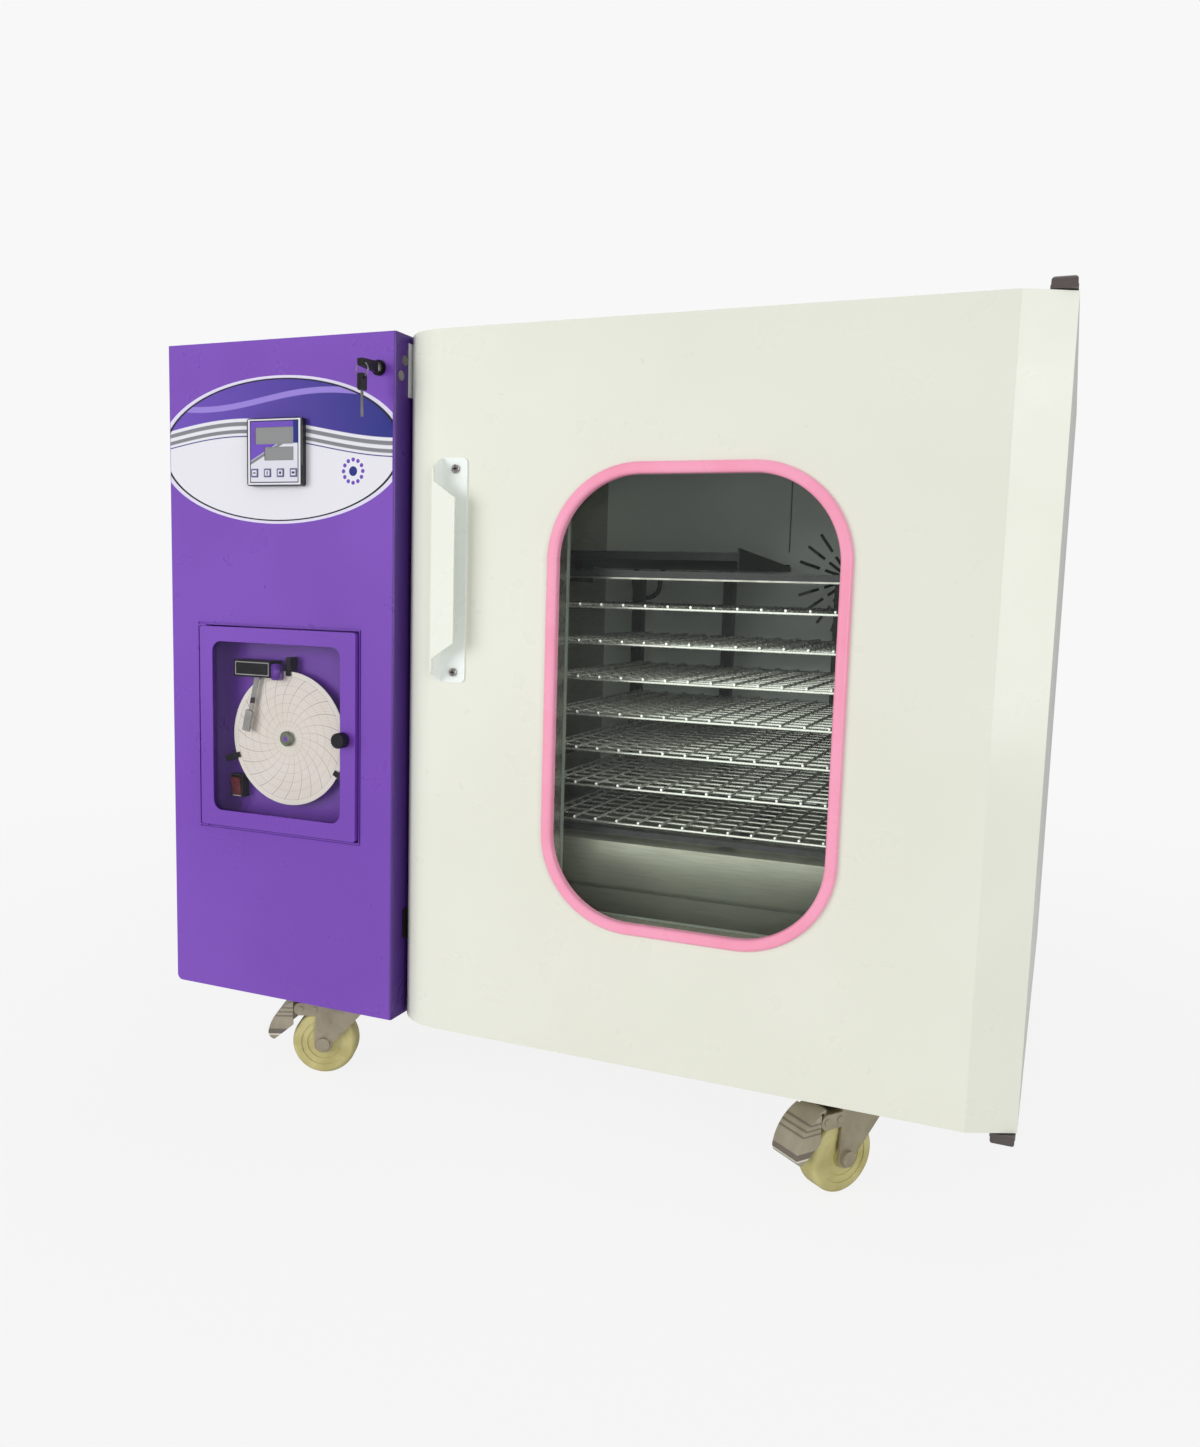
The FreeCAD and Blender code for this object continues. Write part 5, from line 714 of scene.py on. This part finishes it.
def dress_all():
    """Dresses every CAD node, and returns the materials that the mesh pieces share."""
    purple = powder_coat("purple_powder_coat", PURPLE)
    black = plain_plastic("black_plastic", BLACK_PLASTIC)
    zinc = worn_zinc("castor_zinc")
    bright = brushed_metal("bright_steel", BRIGHT_STEEL, (1.0, 1.0, 0.2), roughness=0.3)
    wire = brushed_metal("bright_wire", WIRE_STEEL, (1.0, 0.1, 1.0), roughness=0.24,
                         strength=0.05, metallic=0.8)
    # Paler material for the wires' front ends, a painted highlight
    tip_highlight = plain_plastic("wire_tip_highlight", WIRE_TIP_HIGHLIGHT, roughness=0.35)

    # Cabinet
    dress(powder_coat("cream_powder_coat", CREAM), "cabinet_shell", "door_shell")
    # The cover's right side gets a darker purple as painted shade
    dress(powder_coat("cover_paint", PURPLE, part_of=cover_side_painted_shade, part_colour=PURPLE_PAINTED_SHADE),
          "control_cover")
    dress(label_print("oval_film"), "graphic_label")
    dress(fittings_finish("cover_fittings_finish"), "cover_fittings")
    dress(powder_coat("dark_bracket_paint", BRACKET_PAINT, roughness=0.5), "hinge_brackets")
    dress(powder_coat("box_paint", BOX_PAINT, roughness=0.45), "control_box")
    dress(foam_fill("foam_fill"), "insulation")
    dress(two_tone("key_finish", key_mask, BLACK_PARTS, STEEL, roughness=(0.42, 0.3),
                   metallic=(0.0, 1.0)), "lock_key")
    dress(two_tone("spare_key_finish", spare_mask, BLACK_PARTS, STEEL, roughness=(0.42, 0.28),
                   metallic=(0.0, 1.0)), "spare_key")
    dress(two_tone("unit_finish", condenser_mask, BLACK_PARTS, CONDENSER_METAL,
                   roughness=(0.28, 0.4), metallic=(0.0, 1.0)), "condensing_unit")
    dress(two_tone("inlet_finish", inlet_mask, BLACK_PARTS, BRASS, roughness=(0.4, 0.3),
                   metallic=(0.0, 1.0)), "mains_inlet")

    # Controller and recorder
    dress(controller_print("controller_face"), "controller_case")
    for index in range(1, 5):
        dress(key_print(index), f"controller_key_{index}")
    dress(purple, "recorder_case", "recorder_door")
    dress(clear_sheet("clear_acrylic", ACRYLIC_TINT, haze=0.012, roughness=0.06),
          "recorder_window")
    dress(black, "recorder_knob")
    dress(two_tone("recorder_black", housing_mask, BLACK_PARTS, HOUSING_LINE,
                   roughness=(0.45, 0.4)), "recorder_fittings")
    dress(plain_plastic("switch_rocker", SWITCH_RED, roughness=0.3), "recorder_switch")
    dress(chart_print("chart_print"), "chart_disc")
    dress(pen_finish("pen_grey"), "pen_arm")

    # Chamber door
    # The handle's hollow behind its lip gets a paler tone as painted light
    dress(powder_coat("handle_paint", HANDLE_PAINT, roughness=0.28, part_of=handle_hollow_painted_light,
                      part_colour=HANDLE_HOLLOW_PAINTED_LIGHT), "door_handle")
    dress(screw_finish("screw_chrome"), "handle_screws")
    dress(plain_plastic("white_inner_pan", INNER_PAN, roughness=0.45), "door_core")
    dress(soft_rubber("pink_rubber", PINK_RUBBER, roughness=0.3), "window_trim")
    dress(clear_sheet("window_glass", GLASS_TINT, haze=0.006, roughness=0.03), "window_panes")
    dress(bright, "window_spacer")
    dress(soft_rubber("grey_gasket", GREY_GASKET, roughness=0.6), "door_gasket")
    dress(plain_plastic("white_bush", WHITE_BUSH), "hinge_bushes")

    # Chamber
    dress(brushed_metal("chamber_steel", CHAMBER_STEEL, (0.04, 0.04, 1.0), roughness=0.42,
                        strength=0.06, metallic=0.7),
          "chamber_liner", "agitator_base", "slide_rails")
    dress(powder_coat("duct_paint", DUCT_PAINT, roughness=0.42), "duct_panel")
    dress(soft_rubber("cable_jacket", CABLE_JACKET), "sensor_cable")
    dress(two_tone("coil_finish", coil_mask, BLACK_PARTS, COIL_METAL, roughness=(0.5, 0.35),
                   metallic=(0.0, 1.0)), "evaporator")
    dress(black, "evaporator_fan")
    dress(bright, "agitator_motor", "crank", "connecting_rod")
    dress(two_tone("rack_black", rack_mask, BLACK_PARTS, STEEL, roughness=(0.4, 0.3),
                   metallic=(0.0, 1.0)), "rack_frame")
    dress(wire, *[f"shelf_{index}" for index in range(1, 8)])

    # Castors
    dress(zinc, "castor_mounts", "fork_front_left", "fork_front_right")
    dress(plain_plastic("cream_nylon", NYLON, roughness=0.34, grain_scale=260.0, strength=0.1),
          *[f"wheel_{end}_{side}" for end in ("front", "rear") for side in ("left", "right")])
    for side in ("left", "right"):
        dress(pedal_zinc(f"pedal_zinc_{side}", f"pedal_front_{side}"), f"pedal_front_{side}")
    return wire, tip_highlight, purple


# Mesh pieces

def piece(name, bm, material, body, smooth=True):
    """Makes an object of a bmesh that rides on a body."""
    data = bpy.data.meshes.new(name)
    bmesh.ops.recalc_face_normals(bm, faces=bm.faces)
    bm.to_mesh(data)
    bm.free()
    for polygon in data.polygons:
        polygon.use_smooth = smooth
    data.materials.append(material)
    made = bpy.data.objects.new(name, data)
    bpy.context.scene.collection.objects.link(made)
    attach(made, body)
    return made


# Steps along a rod's domed end and its size there, both as shares of its radius
ROD_END = ((0.0, 0.45), (0.25, 0.8), (0.7, 1.0))
ROD_SIDES = 8


def add_rod(bm, start, end, radius, highlight_tip=False):
    """A round bar with slightly domed ends; when asked, its start gets the second material, a
    paler finish that is a painted highlight.
    """
    axis = (end - start).normalized()
    side = axis.orthogonal().normalized()
    other = axis.cross(side)
    length = (end - start).length
    stations = [(along * radius, share) for along, share in ROD_END]
    stations += [(length - along * radius, share) for along, share in reversed(ROD_END)]
    rings = []
    for along, share in stations:
        centre = start + axis * along
        turns = [math.tau * step / ROD_SIDES for step in range(ROD_SIDES)]
        rings.append([bm.verts.new(centre + radius * share *
                                   (side * math.cos(turn) + other * math.sin(turn)))
                      for turn in turns])
    walls = []
    for near, far in zip(rings, rings[1:]):
        walls.append([bm.faces.new((near[k - 1], near[k], far[k], far[k - 1]))
                      for k in range(ROD_SIDES)])
    front = bm.faces.new(rings[0])
    bm.faces.new(rings[-1])
    if highlight_tip:
        for face in walls[0] + walls[1] + [front]:
            face.material_index = 1


WIRE_RADIUS = 1.5 * MM
WIRE_RISE = 2.7 * MM
MESH_PITCH = 25 * MM
MESH_COLUMNS = 7
MESH_ROWS = 11
FIRST_ROW_GAP = 30 * MM


def wire_shelves(wire, tip_highlight):
    """Round wires welded across each other, in place of each flat CAD grid."""
    for index in range(1, 8):
        node = f"shelf_{index}"
        low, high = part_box(node)
        centre = (low.x + high.x) / 2
        lower = low.z + WIRE_RADIUS
        upper = lower + WIRE_RISE
        columns = [low.x + WIRE_RADIUS]
        columns += [centre + step * MESH_PITCH for step in range(-MESH_COLUMNS, MESH_COLUMNS + 1)]
        columns.append(high.x - WIRE_RADIUS)
        front = low.y + WIRE_RADIUS
        rows = [front]
        rows += [front + FIRST_ROW_GAP + step * MESH_PITCH for step in range(MESH_ROWS)]
        rows.append(high.y - WIRE_RADIUS)
        bm = bmesh.new()
        for x in columns:
            # Wires running back; their front ends get the paler painted-highlight material
            add_rod(bm, Vector((x, low.y, upper)), Vector((x, high.y, upper)), WIRE_RADIUS,
                    highlight_tip=True)
        for y in rows:
            add_rod(bm, Vector((low.x, y, lower)), Vector((high.x, y, lower)), WIRE_RADIUS)
        shelf = piece(f"wire_shelf_{index}", bm, wire, node)
        shelf.data.materials.append(tip_highlight)
        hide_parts(node)


CAP_LOW = Vector((COVER_LOW.x + 134.2 * MM, FRONT + 4.6 * MM, BODY_FLOOR + 366.0 * MM))
CAP_SIZE = Vector((11.0, 10.3, 18.0)) * MM
CAP_BEVEL = 1.2 * MM


def pen_motor_cap(material):
    """Small bevelled block beside the pen housing, on the recorder's deck."""
    bm = bmesh.new()
    bmesh.ops.create_cube(bm, size=1.0)
    bmesh.ops.scale(bm, vec=CAP_SIZE, verts=bm.verts)
    bmesh.ops.translate(bm, vec=CAP_LOW + CAP_SIZE / 2, verts=bm.verts)
    bmesh.ops.bevel(bm, geom=bm.edges[:], offset=CAP_BEVEL, segments=3, affect="EDGES")
    piece("pen_motor_cap", bm, material, "root")


# Stage, lights and camera

FLOOR_RADIUS = 7.0
FLOOR_SIDES = 96
FLOOR_EVENNESS = 0.92
FADE_START, FADE_END = 0.7, 2.0
ROOM_STRENGTH = 0.5

# Lamps: name, place, aim, size in metres, watts, and whether gloss mirrors them
LAMPS = (("key_lamp", (-1.9, -2.7, 0.9), (0.0, 0.0, 0.4), (1.8, 1.8), 45, False),
         ("fill_lamp", (2.3, -2.2, 0.9), (0.3, 0.0, 0.4), (1.6, 1.6), 24, True),
         ("top_lamp", (0.2, 0.2, 3.0), (0.0, 0.1, 0.4), (2.4, 2.0), 16, True))
DAYLIGHT_GAP = 16 * MM
DAYLIGHT_RISE = 20 * MM
DAYLIGHT_SIZE = (0.28, 0.4)
DAYLIGHT_POWER = 0.56


def make_floor():
    """Pale round floor, evened out to the backdrop's tone so that only soft shade shows."""
    bm = bmesh.new()
    bmesh.ops.create_circle(bm, cap_ends=True, segments=FLOOR_SIDES, radius=FLOOR_RADIUS)
    data = bpy.data.meshes.new("floor")
    bm.to_mesh(data)
    bm.free()
    paint = Paint("pale_floor")
    x, y, _ = paint.axes()
    ground = paint.surface(FLOOR_TONE, roughness=0.9)
    even = paint.put("ShaderNodeEmission", {"Color": BACKDROP})
    seen = paint.put("ShaderNodeLightPath").outputs["Is Camera Ray"]
    near = paint.put("ShaderNodeMixShader",
                     {0: paint.times(seen, FLOOR_EVENNESS), 1: ground.outputs[0],
                      2: even.outputs[0]})
    clear = paint.put("ShaderNodeBsdfTransparent")
    mixed = paint.put("ShaderNodeMixShader",
                      {0: paint.ramp(paint.length(x, y), FADE_START, FADE_END),
                       1: near.outputs[0], 2: clear.outputs[0]})
    data.materials.append(paint.done(mixed))
    floor = bpy.data.objects.new("floor", data)
    bpy.context.scene.collection.objects.link(floor)


def make_world():
    """A pale backdrop, and a dimmer room that lights the object."""
    world = bpy.data.worlds.new("pale_room")
    bpy.context.scene.world = world
    world.use_nodes = True
    tree = world.node_tree
    tree.nodes.clear()
    room = tree.nodes.new("ShaderNodeBackground")
    room.inputs["Color"].default_value = ROOM
    room.inputs["Strength"].default_value = ROOM_STRENGTH
    seen = tree.nodes.new("ShaderNodeBackground")
    seen.inputs["Color"].default_value = BACKDROP
    ray = tree.nodes.new("ShaderNodeLightPath")
    mixed = tree.nodes.new("ShaderNodeMixShader")
    tree.links.new(ray.outputs["Is Camera Ray"], mixed.inputs[0])
    tree.links.new(room.outputs[0], mixed.inputs[1])
    tree.links.new(seen.outputs[0], mixed.inputs[2])
    output = tree.nodes.new("ShaderNodeOutputWorld")
    tree.links.new(mixed.outputs[0], output.inputs["Surface"])


def area_light(name, place, aim, size, power, mirrored):
    """A soft lamp at a place, turned towards a point, and not seen itself."""
    data = bpy.data.lights.new(name, "AREA")
    data.shape = "RECTANGLE"
    data.size, data.size_y = size
    data.energy = power
    lamp = bpy.data.objects.new(name, data)
    bpy.context.scene.collection.objects.link(lamp)
    lamp.visible_camera = False
    lamp.visible_glossy = mirrored
    lamp.location = place
    lamp.rotation_euler = (Vector(aim) - Vector(place)).to_track_quat("-Z", "Y").to_euler()


def make_lights():
    """Three studio lamps, and the daylight that falls in through the window."""
    for lamp in LAMPS:
        area_light(*lamp)
    low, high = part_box("window_panes")
    x, z = (low.x + high.x) / 2, (low.z + high.z) / 2 + DAYLIGHT_RISE
    area_light("window_daylight", (x, high.y + DAYLIGHT_GAP, z), (x, 0.0, z), DAYLIGHT_SIZE,
               DAYLIGHT_POWER, True)


def make_camera():
    """Camera at the photograph's place and angle."""
    forward = Vector((math.sin(CAMERA_YAW) * math.cos(CAMERA_PITCH),
                      math.cos(CAMERA_YAW) * math.cos(CAMERA_PITCH), math.sin(CAMERA_PITCH)))
    level = Vector((math.cos(CAMERA_YAW), -math.sin(CAMERA_YAW), 0.0))
    upward = level.cross(forward)
    right = level * math.cos(CAMERA_ROLL) + upward * math.sin(CAMERA_ROLL)
    up = upward * math.cos(CAMERA_ROLL) - level * math.sin(CAMERA_ROLL)
    turn = Matrix((right, up, -forward)).transposed()
    data = bpy.data.cameras.new("camera")
    data.sensor_width = CAMERA_SENSOR
    data.lens = CAMERA_LENS
    camera = bpy.data.objects.new("camera", data)
    bpy.context.scene.collection.objects.link(camera)
    camera.matrix_world = Matrix.Translation(CAMERA_PLACE) @ turn.to_4x4()
    bpy.context.scene.camera = camera


make_camera()
make_world()
make_floor()
make_lights()
bpy.context.scene.view_settings.view_transform = "Standard"
wire_finish, tip_highlight_finish, purple_finish = dress_all()
wire_shelves(wire_finish, tip_highlight_finish)
pen_motor_cap(purple_finish)
